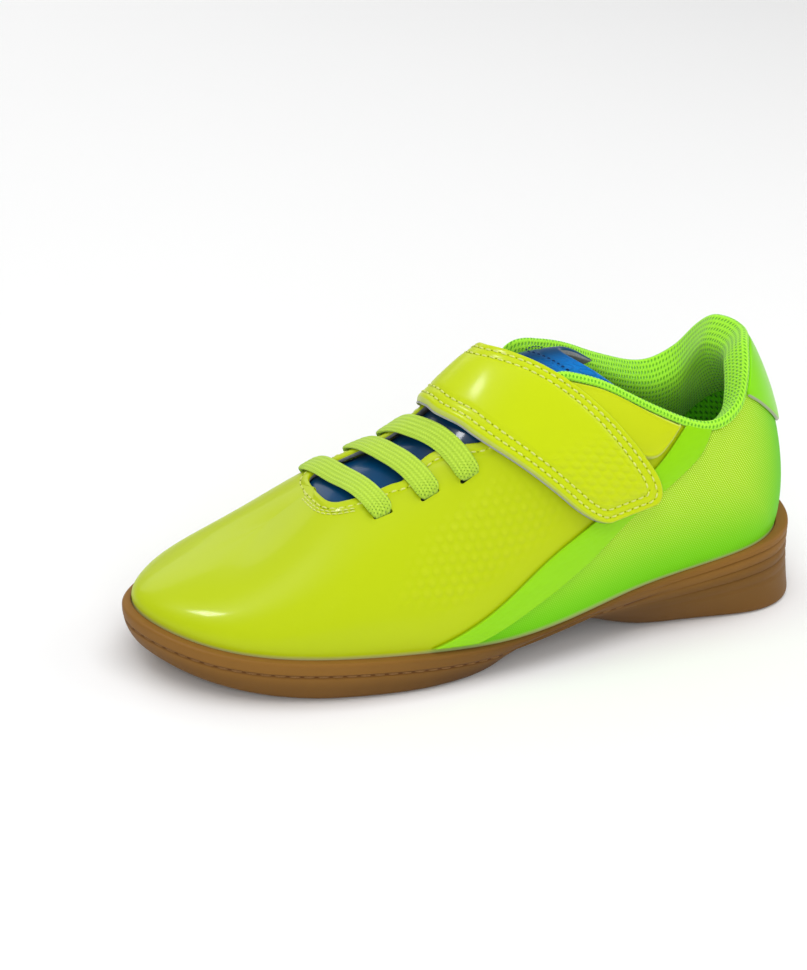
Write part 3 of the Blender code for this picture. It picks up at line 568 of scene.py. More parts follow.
# %% [markdown]
# ## Lamps and floor
# A light tent has one broad bright roof and weaker sides. Five area lamps stand for it.
# The roof and front lamps carry most of the light but stay out of reflections, the side
# and rear lamps give soft edges of gloss, and a small softbox that only reflections see
# makes the bright spot on the toe. One big lamp would be simpler but washes the gloss
# over the whole vamp. A pale world fills the rest, and the Standard view keeps neon
# colours as saturated as they are in the picture.

# %% Lamps and world
def lamp(name, where, aim, width, height, power, **seen):
    data = bpy.data.lights.new(name, "AREA")
    data.shape, data.size, data.size_y, data.energy = "RECTANGLE", width, height, power
    thing = bpy.data.objects.new(name, data)
    back = np.array(where, float) - np.array(aim, float)
    back = back / np.linalg.norm(back)
    side = np.cross([0.0, 1.0, 0.0] if abs(back[2]) > 0.99 else [0.0, 0.0, 1.0], back)
    side = side / np.linalg.norm(side)
    turn = Matrix(np.stack([side, np.cross(back, side), back], 1).tolist()).to_4x4()
    thing.matrix_world = Matrix.Translation(where) @ turn
    for ray, visible in seen.items():
        setattr(thing, ray, visible)
    bpy.context.scene.collection.objects.link(thing)


lamp("roof_lamp", (-0.05, -0.10, 0.85), (0.0, 0.0, 0.02), 0.9, 0.7, 4.4, visible_glossy=False)
lamp("front_lamp", (-0.35, -0.85, 0.45), (0.0, 0.0, 0.03), 0.6, 0.5, 3.2, visible_glossy=False)
lamp("side_lamp", (0.75, -0.15, 0.45), (0.0, 0.0, 0.04), 0.5, 0.5, 1.6)
lamp("rear_lamp", (-0.2, 0.8, 0.5), (0.0, 0.0, 0.04), 0.6, 0.4, 1.6)
lamp("toe_softbox", (-0.50, -0.02, 0.635), (-0.09, -0.013, 0.023), 0.15, 0.11, 3.0,
     visible_diffuse=False)
WORLD_STRENGTH = 0.42
world = bpy.data.worlds.new("studio")
world.use_nodes = True
backdrop = world.node_tree.nodes["Background"]
backdrop.inputs["Color"].default_value = (1.0, 1.0, 1.0, 1.0)
backdrop.inputs["Strength"].default_value = WORLD_STRENGTH
bpy.context.scene.world = world
bpy.context.scene.view_settings.view_transform = "Standard"

# %% Pale floor
FLOOR_HALF, FLOOR_CLOUD, FLOOR_ROUGHNESS = 1.5, 400.0, 0.9
FLOOR_GREY, FLOOR_PALE = (0.90, 0.90, 0.90, 1.0), (0.93, 0.93, 0.93, 1.0)
floor_finish = Finish("pale_floor")
floor_colour = floor_finish.mix(floor_finish.noise(FLOOR_CLOUD), FLOOR_GREY, FLOOR_PALE)
floor_surface = floor_finish.close(floor_colour, FLOOR_ROUGHNESS)
floor_mesh = bpy.data.meshes.new("studio_floor")
corners = [(-FLOOR_HALF, -FLOOR_HALF, 0.0), (FLOOR_HALF, -FLOOR_HALF, 0.0)]
corners += [(FLOOR_HALF, FLOOR_HALF, 0.0), (-FLOOR_HALF, FLOOR_HALF, 0.0)]
floor_mesh.from_pydata(corners, [], [(0, 1, 2, 3)])
floor_mesh.materials.append(floor_surface)
floor = bpy.data.objects.new("studio_floor", floor_mesh)
bpy.context.scene.collection.objects.link(floor)
print("floor", 2 * FLOOR_HALF, "m wide")

# %% [markdown]
# ## Neon synthetic leather
# The vamp is a smooth coated synthetic: glossy, even in colour, with a faint grain. Rows
# of round dimples are moulded into its outer side. A displaced mesh would cost millions
# of faces, so the dimples are a bump pattern: the distance from a staggered lattice of
# points, turned into low domes. Behind the stripe the same skin is a very fine mesh.

# %% Colours of the upper
LIME = paint(206, 228, 0, 0.74)
LIME_LIGHT = paint(220, 236, 40, 0.74)
NEON_GREEN = paint(116, 226, 0)
MESH_LIME = paint(176, 234, 0, 0.76)
MESH_DOT = paint(226, 246, 120, 1.0)
PALE_EDGE = paint(206, 216, 150)
GLUE_LINE = paint(214, 205, 150)
MESH_GREEN = paint(96, 200, 0)
DIMPLE_PITCH, DIMPLE_HEIGHT = 3.4, 0.21
MESH_PITCH, MESH_TURN, MESH_DOT_EDGE = 0.66, 0.10, (0.27, 0.10)
MESH_DOT_HEIGHT, GRAIN_SIZE, GRAIN_HEIGHT = 0.05, 0.55, 0.012
UPPER_COAT, UPPER_COAT_ROUGHNESS = 0.15, 0.11

# %% The dimples and the fine grain
def dimples(x, y):
    """Low round domes in a staggered lattice, height from 0 to 1."""
    distance = nearest_dot(x, y, DIMPLE_PITCH)
    return distance.ramp(DIMPLE_PITCH * 0.50, DIMPLE_PITCH * 0.14)


def grain(finish, height=GRAIN_HEIGHT):
    return finish.noise(GRAIN_SIZE, 3.0) * height


def upper_skin():
    skin = Finish("neon_upper_skin")
    x, y = skin.place()
    domes = dimples(x, y) * skin.mark("dimple")
    mesh_part, green_part = skin.mark("mesh"), skin.mark("green")
    turned_x, turned_y = x + y * MESH_TURN, y - x * MESH_TURN
    pips = nearest_dot(turned_x, turned_y, MESH_PITCH).ramp(*MESH_DOT_EDGE) * mesh_part
    cloud = skin.noise(26.0, 2.0)
    # Painted highlight: the tops of the dimple domes are painted lighter; the cloud varies the
    # tone at random.
    colour = skin.mix(cloud * 0.25 + domes * 0.30, LIME, LIME_LIGHT)
    colour = skin.mix(mesh_part, colour, MESH_LIME)
    colour = skin.mix(pips * 0.80, colour, MESH_DOT)
    green = skin.mix((1.0 - pips) * mesh_part * 0.25, NEON_GREEN, MESH_GREEN)
    colour = skin.mix(green_part, colour, green)
    colour = skin.mix(skin.mark("glue"), colour, GLUE_LINE)
    height = domes * DIMPLE_HEIGHT + grain(skin) + pips * MESH_DOT_HEIGHT * (1.0 - green_part)
    roughness = mesh_part * 0.14 + 0.40 + cloud * 0.06
    coat = UPPER_COAT - mesh_part * UPPER_COAT
    return skin.close(colour, roughness, height, coat, Coat_Roughness=UPPER_COAT_ROUGHNESS)


UPPER_SKIN = upper_skin()

# %% [markdown]
# ## Knits and linings
# The collar is a warp knit with small dark openings in staggered rows. The lining inside
# the heel is the same knit with larger, longer openings, and the vamp is lined with a
# grey felt. Openings are dark spots of the lattice, with the yarn raised between them.

# %% Knit finishes
KNIT_GREEN = paint(176, 250, 62, 1.0)
KNIT_DEEP = paint(58, 168, 14, 1.0)
LINING_GREEN, LINING_DEEP = paint(112, 226, 30, 1.0), paint(24, 118, 8, 1.0)
KNIT_SLANT, WOBBLE_ALONG, WOBBLE_ACROSS = 0.35, 0.25, 0.2
LOOP_HEIGHT, OPENING_DEPTH, FLUFF_HEIGHT = 0.07, 0.28, 0.05


def knit(name, yarn, deep, pitch_x, pitch_y, hole):
    """Knit with openings pitch_x apart along the piece and pitch_y apart across it."""
    cloth = Finish(name)
    x, y = cloth.place()
    wobble = cloth.noise(1.6, 1.0) - 0.5
    tilt = x + y * KNIT_SLANT + wobble * WOBBLE_ALONG
    squeezed = y * (pitch_x / pitch_y) + wobble * WOBBLE_ACROSS
    opening = nearest_dot(tilt, squeezed, pitch_x).ramp(hole, hole * 0.25)
    loops = ((tilt * (math.tau / pitch_x * 2.0)).wave() * 0.5 + 0.5) * LOOP_HEIGHT
    fluff = cloth.noise(0.30, 3.0)
    # Painted shade: the openings are painted dark, as the shade in the holes; the fluff varies the
    # tone at random.
    shade = opening * 0.62 + fluff * 0.24
    colour = cloth.mix(shade, yarn, deep)
    height = loops - opening * OPENING_DEPTH + fluff * FLUFF_HEIGHT
    roughness = 0.82 + opening * 0.12
    return cloth.close(colour, roughness, height, Sheen_Weight=0.25, Sheen_Roughness=0.4)


COLLAR_KNIT = knit("collar_knit_green", KNIT_GREEN, KNIT_DEEP, 1.15, 1.90, 0.42)
LINING_KNIT = knit("lining_knit_green", LINING_GREEN, LINING_DEEP, 1.5, 2.6, 0.56)


def felt(name, light, dark, thread):
    cloth = Finish(name)
    fibres = cloth.noise(0.35, 4.0)
    weave = cloth.noise(thread, 1.0)
    colour = cloth.mix(fibres * 0.6 + weave * 0.4, dark, light)
    return cloth.close(colour, 0.92, fibres * 0.10 + weave * 0.05, Sheen_Weight=0.2)


LINING_FELT = felt("lining_felt_grey", paint(176, 180, 186), paint(98, 102, 110), 1.2)
BACKING = felt("strap_backing_pale", paint(212, 214, 212), paint(168, 170, 172), 0.8)
FOOTBED = felt("footbed_cloth", paint(96, 176, 40), paint(40, 110, 20), 0.9)
print("knits and linings made")

# %% [markdown]
# ## The upper
# One hollow wall with a true thickness, as the CAD has it. The mesh follows the same
# ribs with closer columns and rows, so the throat's front is round and its edge is a
# padded rim with a furrow where the seam runs. The lace slots are cut by a Boolean,
# because a cut hole shows its depth at every angle, where a painted one would not.

# %% Edges of the upper
# station, share of the way from the side's collar height to the heel's
COLLAR_SEAM = [
    (0.00, 1.00), (0.60, 1.01), (1.05, 0.96), (1.35, 0.84), (1.60, 0.69), (1.83, 0.51),
    (2.05, 0.30), (2.28, 0.15), (2.70, 0.00), (2.98, 0.03), (3.20, 0.11), (3.45, 0.23),
    (3.90, 0.47), (4.15, 0.62), (4.42, 0.76), (4.73, 0.87), (5.00, 0.94),
]
COLLAR_CORNER = 5.0
# station, outer side, inner side: distance of the throat's edge from the ridge
THROAT_EDGE = [
    (5.00, 0.262, 0.255), (5.60, 0.320, 0.240), (6.00, 0.335, 0.225), (6.23, 0.325, 0.215),
    (6.37, 0.300, 0.210), (6.53, 0.270, 0.200), (6.70, 0.240, 0.180), (6.85, 0.219, 0.168),
    (7.03, 0.218, 0.162), (7.16, 0.232, 0.170), (7.30, 0.250, 0.182), (7.47, 0.238, 0.180),
    (7.70, 0.232, 0.172), (7.90, 0.226, 0.172), (8.10, 0.212, 0.178), (8.30, 0.190, 0.176),
]
# root of the distance from the front, outer side, inner side
THROAT_FRONT = [
    (0.000, 0.000, 0.000), (0.050, 0.0024, 0.0026),
    (0.100, 0.0057, 0.0071), (0.150, 0.0126, 0.0158),
    (0.200, 0.0224, 0.0277), (0.300, 0.0502, 0.0597),
    (0.400, 0.0879, 0.0982), (0.500, 0.1321, 0.1369),
    (0.600, 0.1680, 0.1640), (0.6856, 0.190, 0.176),
]
FRONT_STATION, FRONT_START = 8.77, 8.30
COLUMNS_A_RIB, FRONT_COLUMNS, COLUMN_ROOM = 16, 15, 0.03
HEIGHTS = np.linspace(0.0, 1.0, 25)


def seam_height(t):
    share = table_curve(COLLAR_SEAM, station(t))
    return SIDE_COLLAR_HEIGHT + share * (HEEL_COLLAR_HEIGHT - SIDE_COLLAR_HEIGHT)


def throat_distance(u, outer_side):
    """Distance of the throat's edge from the ridge, round at the front."""
    root = np.sqrt(np.clip(FRONT_STATION - u, 0.0, None))
    outer, inner = (
        np.where(u < FRONT_START, table_curve(THROAT_EDGE, u, column),
                 table_curve(THROAT_FRONT, root, column))
        for column in (1, 2)
    )
    return np.where(outer_side, outer, inner)


def upper_top(t):
    u = station(t)
    throat = 1.0 - throat_distance(u, np.asarray(t) % RIBS < TOE_RIB)
    collar = share_at_height(t, seam_height(t))
    return np.where(u <= COLLAR_CORNER, collar, np.where(u < FRONT_STATION, throat, 1.0))


def upper_columns():
    """Rib numbers of the columns: closer together round the throat's front."""
    even = np.arange(TOE_RIB * COLUMNS_A_RIB + 1) / COLUMNS_A_RIB
    root = np.linspace(math.sqrt(FRONT_STATION - FRONT_START), 0.0, FRONT_COLUMNS)
    rear, front = even[even < FRONT_START - COLUMN_ROOM], even[even > FRONT_STATION + COLUMN_ROOM]
    side = np.concatenate([rear, FRONT_STATION - root**2, front])
    return np.concatenate([side, RIBS - side[-2:0:-1]])

# %% Surface coordinates and masks of the upper
# front edge: station, height share; rear edge: station, height share
STRIPE = [
    (3.18, 0.462, 2.72, 0.432), (3.70, 0.382, 3.00, 0.362), (4.20, 0.335, 3.50, 0.310),
    (4.90, 0.281, 4.20, 0.255), (5.60, 0.225, 4.90, 0.175), (6.40, 0.120, 5.80, 0.095),
    (7.12, 0.020, 6.50, 0.020),
]
# outline of the moulded dimples on the vamp: station, distance from the ridge
DIMPLE_FIELD = [
    (7.50, 0.742), (7.30, 0.592), (6.93, 0.500), (6.47, 0.483), (6.10, 0.467), (5.67, 0.542),
    (5.30, 0.650), (5.60, 0.700), (6.20, 0.750), (6.80, 0.808),
]
FIELD_STRETCH, FIELD_SOFT = 8.0, 0.25
STRIPE_FOOT, STRIPE_BLEND = (6.9, 7.3), 0.15
AROUND_STEPS, GIRTH_SHARE = 720, 0.45
LOW_GREEN, HEEL_GREEN, HEEL_GREEN_SLANT, GLUE_EDGE = 0.30, (1.1, 3.0), 1.4, (0.35, 0.95)


def inside_field(u, g, field, soft):
    """1 inside a closed outline, fading to 0 over a soft border."""
    points = np.stack([u, g * FIELD_STRETCH], -1)
    ring = np.array([(a, b * FIELD_STRETCH) for a, b in field])
    least = np.full(u.shape, FAR)
    inside = np.zeros(u.shape, bool)
    for a, b in zip(ring, np.roll(ring, -1, 0)):
        line = b - a
        way = np.clip(((points - a) @ line) / (line @ line), 0.0, 1.0)
        least = np.minimum(least, np.linalg.norm(points - a - way[..., None] * line, axis=-1))
        crosses = (a[1] > points[..., 1]) != (b[1] > points[..., 1])
        rise = line[1] if abs(line[1]) > 1e-9 else 1e-9
        inside ^= crosses & (points[..., 0] < a[0] + line[0] * (points[..., 1] - a[1]) / rise)
    side = np.where(inside, 0.5, -0.5)
    return np.clip(0.5 + side * np.clip(least / soft, 0.0, 1.0), 0.0, 1.0)


def stripe_middle(h):
    """Station of the stripe's middle line at a height share."""
    front_u, front_h, rear_u, rear_h = (list(column) for column in zip(*STRIPE[::-1]))
    rear = np.interp(h, [0.0] + rear_h, [STRIPE_FOOT[0]] + rear_u)
    front = np.interp(h, [0.0] + front_h, [STRIPE_FOOT[1]] + front_u)
    return 0.5 * (rear + front)


def skin_marks(t, h):
    """Place in mm and masks for points of the outer face."""
    u = station(t)
    ribs = np.linspace(0.0, RIBS, AROUND_STEPS + 1)
    around = run_length(form(ribs, GIRTH_SHARE), 0)
    along = np.interp(t, ribs, around)
    climbed = run_length(form(t[0][None, :], HEIGHTS[:, None]), 0)
    up = np.empty_like(h)
    for j in range(h.shape[1]):
        up[:, j] = np.interp(h[:, j], HEIGHTS, climbed[:, j])
    middle = stripe_middle(h)
    behind = 1.0 - smooth(u, middle - STRIPE_BLEND, middle + STRIPE_BLEND)
    low_green = smooth(LOW_GREEN - h, 0.0, LOW_GREEN) * 0.9
    heel_green = 1.0 - smooth(u + h * HEEL_GREEN_SLANT, *HEEL_GREEN)
    green = np.clip(np.maximum(low_green, heel_green), 0.0, 1.0) * behind
    glue = (1.0 - smooth(up, *GLUE_EDGE)) * 0.8
    dimple = inside_field(u, 1.0 - h, DIMPLE_FIELD, FIELD_SOFT) * (t < TOE_RIB)
    marks = {"place": surface_place(along, up), "mesh": behind, "green": green}
    return {**marks, "glue": glue, "dimple": dimple}

# %% The upper's wall
RIM_ROWS = 7
EDGE_STEPS = np.array([0.0, 0.35, 0.7, 1.1, 1.6, 2.1, 2.6, 2.95, 3.3, 3.8, 4.6, 6.0, 8.0])
BODY_ROWS = 34
SEAM_AT, SEAM_WIDTH, SEAM_DEPTH = 2.9, 0.55, 0.22
PUFF_AT, PUFF_WIDTH, PUFF_HEIGHT = 1.3, 1.0, 0.22
THROAT_FADE, TINY_RISE = 0.3, 0.01


def wall_points(columns):
    """Outer rows, rim rows and inner rows of the wall, from the sole up and down again."""
    t = columns[None, :]
    top = upper_top(t)
    climb = run_length(form(t, HEIGHTS[:, None]), 0)[-1:]
    rim_room = WALL / 2 / MM / climb
    closed = top >= 1.0
    end = np.where(closed, 1.0, top - rim_room)
    down = EDGE_STEPS[:, None] / climb
    near = end - down
    body = np.linspace(0.0, 1.0, BODY_ROWS)[:-1, None] * near[-1:]
    h = np.concatenate([body, near[::-1]])
    below_edge = (end - h) * climb
    on_throat = smooth(station(t), COLLAR_CORNER, COLLAR_CORNER + THROAT_FADE) * (1.0 - closed)
    relief = bell(below_edge, SEAM_AT, SEAM_WIDTH, SEAM_DEPTH) * on_throat
    puff = bell(below_edge, PUFF_AT, PUFF_WIDTH, PUFF_HEIGHT) * on_throat
    outer = form(t, h, (relief - puff) * MM)
    marks = skin_marks(t + 0.0 * h, h)
    foot = feather(t, 0.0)
    foot[..., 2] = inner_floor(feather(t)[..., 0]) + GAP
    outer = np.concatenate([foot, outer])
    inner_h = np.concatenate([h[::-1][::2], h[:1]])
    inner = form(t, inner_h, WALL)
    inner_foot = feather(t, WALL)
    inner_foot[..., 2] = inner_floor(feather(t)[..., 0]) + GAP
    inner = np.concatenate([inner, inner_foot])
    first, last = outer[-1], inner[0]
    middle, half = 0.5 * (first + last), 0.5 * (first - last)
    rise = unit(form(t, end)[0] - form(t, end - TINY_RISE)[0])
    size = np.linalg.norm(half, axis=-1, keepdims=True)
    turn = np.linspace(0.0, math.pi, RIM_ROWS + 2)[1:-1, None, None]
    rim = middle + half * np.cos(turn) + rise * size * np.sin(turn)
    return outer, rim, inner, marks, ~closed[0]


def build_upper():
    columns = upper_columns()
    outer, rim, inner, marks, open_column = wall_points(columns)
    count = len(columns)
    points = np.concatenate([outer, rim, inner])
    total = points.shape[0]
    rim_start, rim_end = len(outer), len(outer) + len(rim)
    rows = np.arange(rim_start - 1)
    source = np.concatenate([[0], rows, np.full(len(rim), rows[-1]), rows[::-1][::2], [0], [0]])
    flat_marks = {}
    for key, values in marks.items():
        picked = values[source]
        flat_marks[key] = picked.reshape(-1, 3) if picked.ndim == 3 else picked.reshape(-1)
    faces = []
    choice = []
    u = station(columns)
    for i in range(total - 1):
        in_rim = rim_start - 1 <= i < rim_end
        for j in range(count):
            k = (j + 1) % count
            if in_rim and not (open_column[j] or open_column[k]):
                continue
            faces.append([i * count + j, i * count + k, (i + 1) * count + k, (i + 1) * count + j])
            inside = i >= rim_start + len(rim) // 2
            choice.append((1 if u[j] < COLLAR_CORNER else 2) if inside else 0)
    for j in range(count):
        k = (j + 1) % count
        faces.append([j, (total - 1) * count + j, (total - 1) * count + k, k])
        choice.append(0)
    finishes = [UPPER_SKIN, LINING_KNIT, LINING_FELT]
    piece = make_piece("upper_wall", points.reshape(-1, 3), faces, flat_marks, finishes, choice)
    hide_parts("upper")
    return piece


upper = build_upper()

# %% The lace slots
# name, outer slot: station, distance; inner slot: station, distance
LACES = [
    ("front", 7.66, 0.372, 8.17, 0.345),
    ("middle", 6.97, 0.387, 7.50, 0.340),
    ("back", 6.43, 0.417, 7.02, 0.335),
]
STATION_STEP = 0.05
SLOT_LENGTH, SLOT_WIDTH, SLOT_ARC, SLOT_SHIFT = 0.0060, 0.0013, 7, 0.010
CUT_DEPTH = 2.5 * WALL


def slot_frame(u, g):
    """Middle, lengthwise direction and outward direction of a slot."""
    middle = across_form(u, g, WALL / 2)
    length = across_form(u - STATION_STEP, g) - across_form(u + STATION_STEP, g)
    length = length / np.linalg.norm(length)
    width = across_form(u, g + STATION_STEP / 4) - across_form(u, g - STATION_STEP / 4)
    out = np.cross(length, width)
    out = out / np.linalg.norm(out)
    return middle, length, out if out[2] > 0 else -out


def cut_slots(piece):
    work = bmesh.new()
    for _, outer_u, outer_g, inner_u, inner_g in LACES:
        for u, g in ((outer_u, SLOT_SHIFT - outer_g), (inner_u, inner_g - SLOT_SHIFT)):
            middle, length, out = slot_frame(u, g)
            width = np.cross(out, length)
            turn = np.linspace(-math.pi / 2, math.pi / 2, SLOT_ARC)
            radius, straight = SLOT_WIDTH / 2, (SLOT_LENGTH - SLOT_WIDTH) / 2
            ring = [(straight + radius * math.cos(a), radius * math.sin(a)) for a in turn]
            ring += [(-x, -y) for x, y in ring]
            ends = []
            for level in (-CUT_DEPTH, CUT_DEPTH):
                spots = [middle + length * x + width * y + out * level for x, y in ring]
                ends.append([work.verts.new(tuple(float(c) for c in spot)) for spot in spots])
            work.faces.new(ends[0][::-1])
            work.faces.new(ends[1])
            for j in range(len(ring)):
                k = (j + 1) % len(ring)
                work.faces.new([ends[0][j], ends[0][k], ends[1][k], ends[1][j]])
    bmesh.ops.recalc_face_normals(work, faces=work.faces)
    mesh = bpy.data.meshes.new("slot_cutter")
    work.to_mesh(mesh)
    work.free()
    cutter = bpy.data.objects.new("slot_cutter", mesh)
    bpy.context.scene.collection.objects.link(cutter)
    before = piece.data.copy()
    cut = piece.modifiers.new("lace_slots", "BOOLEAN")
    cut.operation, cut.solver, cut.object = "DIFFERENCE", "EXACT", cutter
    graph = bpy.context.evaluated_depsgraph_get()
    result = bpy.data.meshes.new_from_object(piece.evaluated_get(graph))
    piece.modifiers.clear()
    piece.data = result
    bpy.data.objects.remove(cutter, do_unlink=True)
    copy_marks(before, result)
    result.shade_smooth()
    result.set_sharp_from_angle(angle=math.radians(SHARP_ANGLE))
    bpy.data.meshes.remove(before)
    print("slots cut,", len(result.polygons), "faces")


def copy_marks(source, target):
    """Gives the points that a cut made the marks of their nearest neighbours."""
    tree = KDTree(len(source.vertices))
    for vertex in source.vertices:
        tree.insert(vertex.co, vertex.index)
    tree.balance()
    found = [tree.find(vertex.co)[1] for vertex in target.vertices]
    for attribute in list(source.attributes):
        own = attribute.name != "position" and not attribute.name.startswith(".")
        if attribute.domain != "POINT" or not own:
            continue
        wide = 3 if attribute.data_type == "FLOAT_VECTOR" else 1
        field = "vector" if wide == 3 else "value"
        values = np.empty(len(source.vertices) * wide)
        attribute.data.foreach_get(field, values)
        picked = values.reshape(-1, wide)[found]
        fresh = target.attributes.get(attribute.name)
        if fresh is None:
            fresh = target.attributes.new(attribute.name, attribute.data_type, "POINT")
        fresh.data.foreach_set(field, picked.ravel())


cut_slots(upper)

# %% [markdown]
# ## The gum rubber sole
# A moulded cup: the upper sits inside its rim and is sewn through a furrow that runs
# round the side wall. The heel has three stepped ribs, each lower one standing further
# out, which fade away towards the arch. An extruded outline would be quick, but here the
# outline and the heights both change along the shoe, so the side is a stack of offset
# outlines, and rows of points from side to side close the floor and the underside.

# %% Gum rubber
GUM = paint(156, 110, 46)
GUM_DARK = paint(84, 56, 24)
GUM_CREASE = paint(84, 46, 22)
GUM_SHADE, SPECK_HEIGHT, CLOUD_HEIGHT = (3.0, 9.0), 0.02, 0.05


def gum_rubber():
    gum = Finish("gum_rubber_satin")
    cloud = gum.noise(18.0, 3.0)
    speck = gum.noise(0.5, 3.0)
    depth = gum.mark("below")
    # Painted shade: the gum is darker 3 to 9 mm down the side wall, where it curves under, and
    # much darker at the arch, where the wall tucks in; the cloud only varies the tone at random.
    shade = (depth.ramp(*GUM_SHADE) * 0.35 + cloud * 0.2 + gum.mark("arch") * 0.55).least(1.0)
    colour = gum.mix(shade, GUM, GUM_DARK)
    # Painted shade: the steps of the heel ribs and the thread's furrow are painted darker.
    colour = gum.mix(gum.mark("crease") * 0.85, colour, GUM_CREASE)
    height = speck * SPECK_HEIGHT + cloud * CLOUD_HEIGHT
    return gum.close(colour, 0.46 + speck * 0.10, height)


GUM_RUBBER = gum_rubber()

# %% Sizes of the sole
SOLE_COLUMNS, CROSS_POINTS, SOLE_SHARP_ANGLE = 360, 56, 38.0
THREAD_DEPTH, FURROW_WIDTH, FURROW_DEPTH = 4.2, 0.45, 0.00045
FURROW_FADE = (3.2, 4.4)
SOLE_TUCK_EXPONENT = 2.2
TOP_ROUND, FOOT_ROUND = (0.0010, 0.0008), (0.0018, 0.0016)
ARCH_AT, ARCH_WIDTH, ARCH_HOLLOW = 5.0, 1.3, 0.0012
SHADE_AT, SHADE_WIDTH, DEPTH_BELOW = 0.10, 0.42, 8.0
HEEL_RIBS_FADE = (1.6, 4.4)
HEEL_RIBS = ((0.105, 0.255), (0.255, 0.405), (0.405, 0.570))
HEEL_RIB_DEPTH = 0.0011
TOP_STEPS = (0.0, 0.01, 0.025, 0.045, 0.07, 0.095)
RIB_STEPS = np.array([0.004, 0.06, 0.14, 0.26, 0.42, 0.62, 0.85, 0.996])
LOW_STEPS = (*np.linspace(0.60, 0.90, 9), 0.925, 0.945, 0.962, 0.976, 0.988, 0.996, 1.0)


def heel_steps(drop):
    """Set-back of the stepped ribs, in shares of their depth: each has a rounded top."""
    back = np.zeros_like(drop)
    for top, foot in HEEL_RIBS:
        share = (drop - top) / (foot - top)
        rounded = 1.0 - quarter_round(share / 0.5)
        lean = 0.25 * np.clip((share - 0.6) / 0.4, 0.0, 1.0)
        back = np.where((share >= 0.0) & (share <= 1.0), rounded + lean, back)
    return back


def furrow_depth(t, below):
    """The furrow that the thread lies in; it fades out towards the heel."""
    fade = smooth(station(t), *FURROW_FADE)
    return bell(below, THREAD_DEPTH, FURROW_WIDTH, FURROW_DEPTH) * fade


def arch_hollow(t, drop):
    """How far the side wall draws in beside the arch."""
    return bell(station(t), ARCH_AT, ARCH_WIDTH, ARCH_HOLLOW) * np.sin(np.pi * drop) ** 2

# %% Side wall of the sole
def sole_side():
    """Rings of points down the side, with their depth in mm and the painted shade in the creases.
    """
    t = np.linspace(0.0, RIBS, SOLE_COLUMNS + 1)[:-1][None, :]
    edge = ring_value(FEATHER_SPLINE, t)
    rim, ledge, tread = edge[..., 2], edge[..., 6], edge[..., 7]
    ribbed = (1.0 - smooth(station(t), *HEEL_RIBS_FADE)) * HEEL_RIB_DEPTH
    ground = underside(feather(t)[..., 0])
    rib_steps = [top + (foot - top) * RIB_STEPS for top, foot in HEEL_RIBS]
    drop = np.concatenate([TOP_STEPS, *rib_steps, LOW_STEPS])[:, None]
    wall = rim - ground
    below = drop * wall / MM
    top_round = edge_fall(below, *TOP_ROUND)
    foot_round = edge_fall(below[-1:] - below, *FOOT_ROUND)
    furrow = furrow_depth(t, below)
    stepped = heel_steps(drop + 0.0 * t) * ribbed
    tuck = (tread - ledge) * drop**SOLE_TUCK_EXPONENT
    offset = ledge + tuck - top_round - foot_round - furrow - arch_hollow(t, drop) - stepped
    side = feather(t + 0.0 * drop, -offset)
    side[..., 2] = rim - wall * drop
    side[-1, :, 2] = underside(side[-1, :, 0])
    mouth = feather(t, -GAP)
    mouth[..., 2] = rim
    floor_ring = feather(t, -GAP)
    floor_ring[..., 2] = inner_floor(feather(t)[..., 0])
    no_side = np.zeros((2, SOLE_COLUMNS))
    # painted shade, strongest under the steps of the heel ribs and in the thread's furrow
    crease_shade = np.clip(stepped / HEEL_RIB_DEPTH, 0, 1) ** 2 + furrow / FURROW_DEPTH
    points = np.concatenate([floor_ring, mouth, side])
    return points, np.concatenate([no_side, below]), np.concatenate([no_side, crease_shade])

# %% Floor, underside and tread
TREAD_PITCH, TREAD_SLANT, TREAD_HEIGHT = 5.0, 0.8, 0.0009
TREAD_EDGE, TREAD_BORDER = (0.72, 0.95), (0.04, 0.10)


def tread_relief(points, share):
    """Low chevrons under the forefoot and the heel, with a plain border and a plain arch."""
    x, y = points[..., 0] / MM, points[..., 1] / MM
    along = along_share(points[..., 0])
    wave = np.abs(((x + TREAD_SLANT * np.abs(y)) / TREAD_PITCH) % 1.0 - 0.5) * 2.0
    cut = smooth(wave, *TREAD_EDGE)
    border = smooth(share, *TREAD_BORDER) * smooth(1.0 - share, *TREAD_BORDER)
    zone = smooth(-along, 0.10, 0.16) * smooth(along, -0.95, -0.88)
    zone = np.maximum(zone, smooth(along, 0.48, 0.54) * smooth(-along, -0.97, -0.90))
    return cut * border[None, :] * zone * TREAD_HEIGHT


def fill_ring(ring, base, start, height):
    """Points and faces of a surface that spans a ring, in rows from side to side."""
    half = SOLE_COLUMNS // 2
    share = np.linspace(0.0, 1.0, CROSS_POINTS)[1:-1]
    left, right = ring[1:half], ring[:half:-1]
    spots = left[:, None] + (right - left)[:, None] * share[None, :, None]
    relief = tread_relief(spots, share) if height is underside else 0.0
    spots[..., 2] = height(spots[..., 0]) + relief
    index = start + np.arange((half - 1) * len(share)).reshape(half - 1, len(share))
    full = np.concatenate([base + np.arange(1, half)[:, None], index,
                           base + np.arange(SOLE_COLUMNS - 1, half, -1)[:, None]], 1)
    faces = []
    for a, b in zip(full[:-1], full[1:]):
        faces += np.stack([a[:-1], a[1:], b[1:], b[:-1]], -1).tolist()
    faces += [[base, int(a), int(b)] for a, b in zip(full[0][:-1], full[0][1:])]
    faces += [[base + half, int(b), int(a)] for a, b in zip(full[-1][:-1], full[-1][1:])]
    return spots.reshape(-1, 3), faces

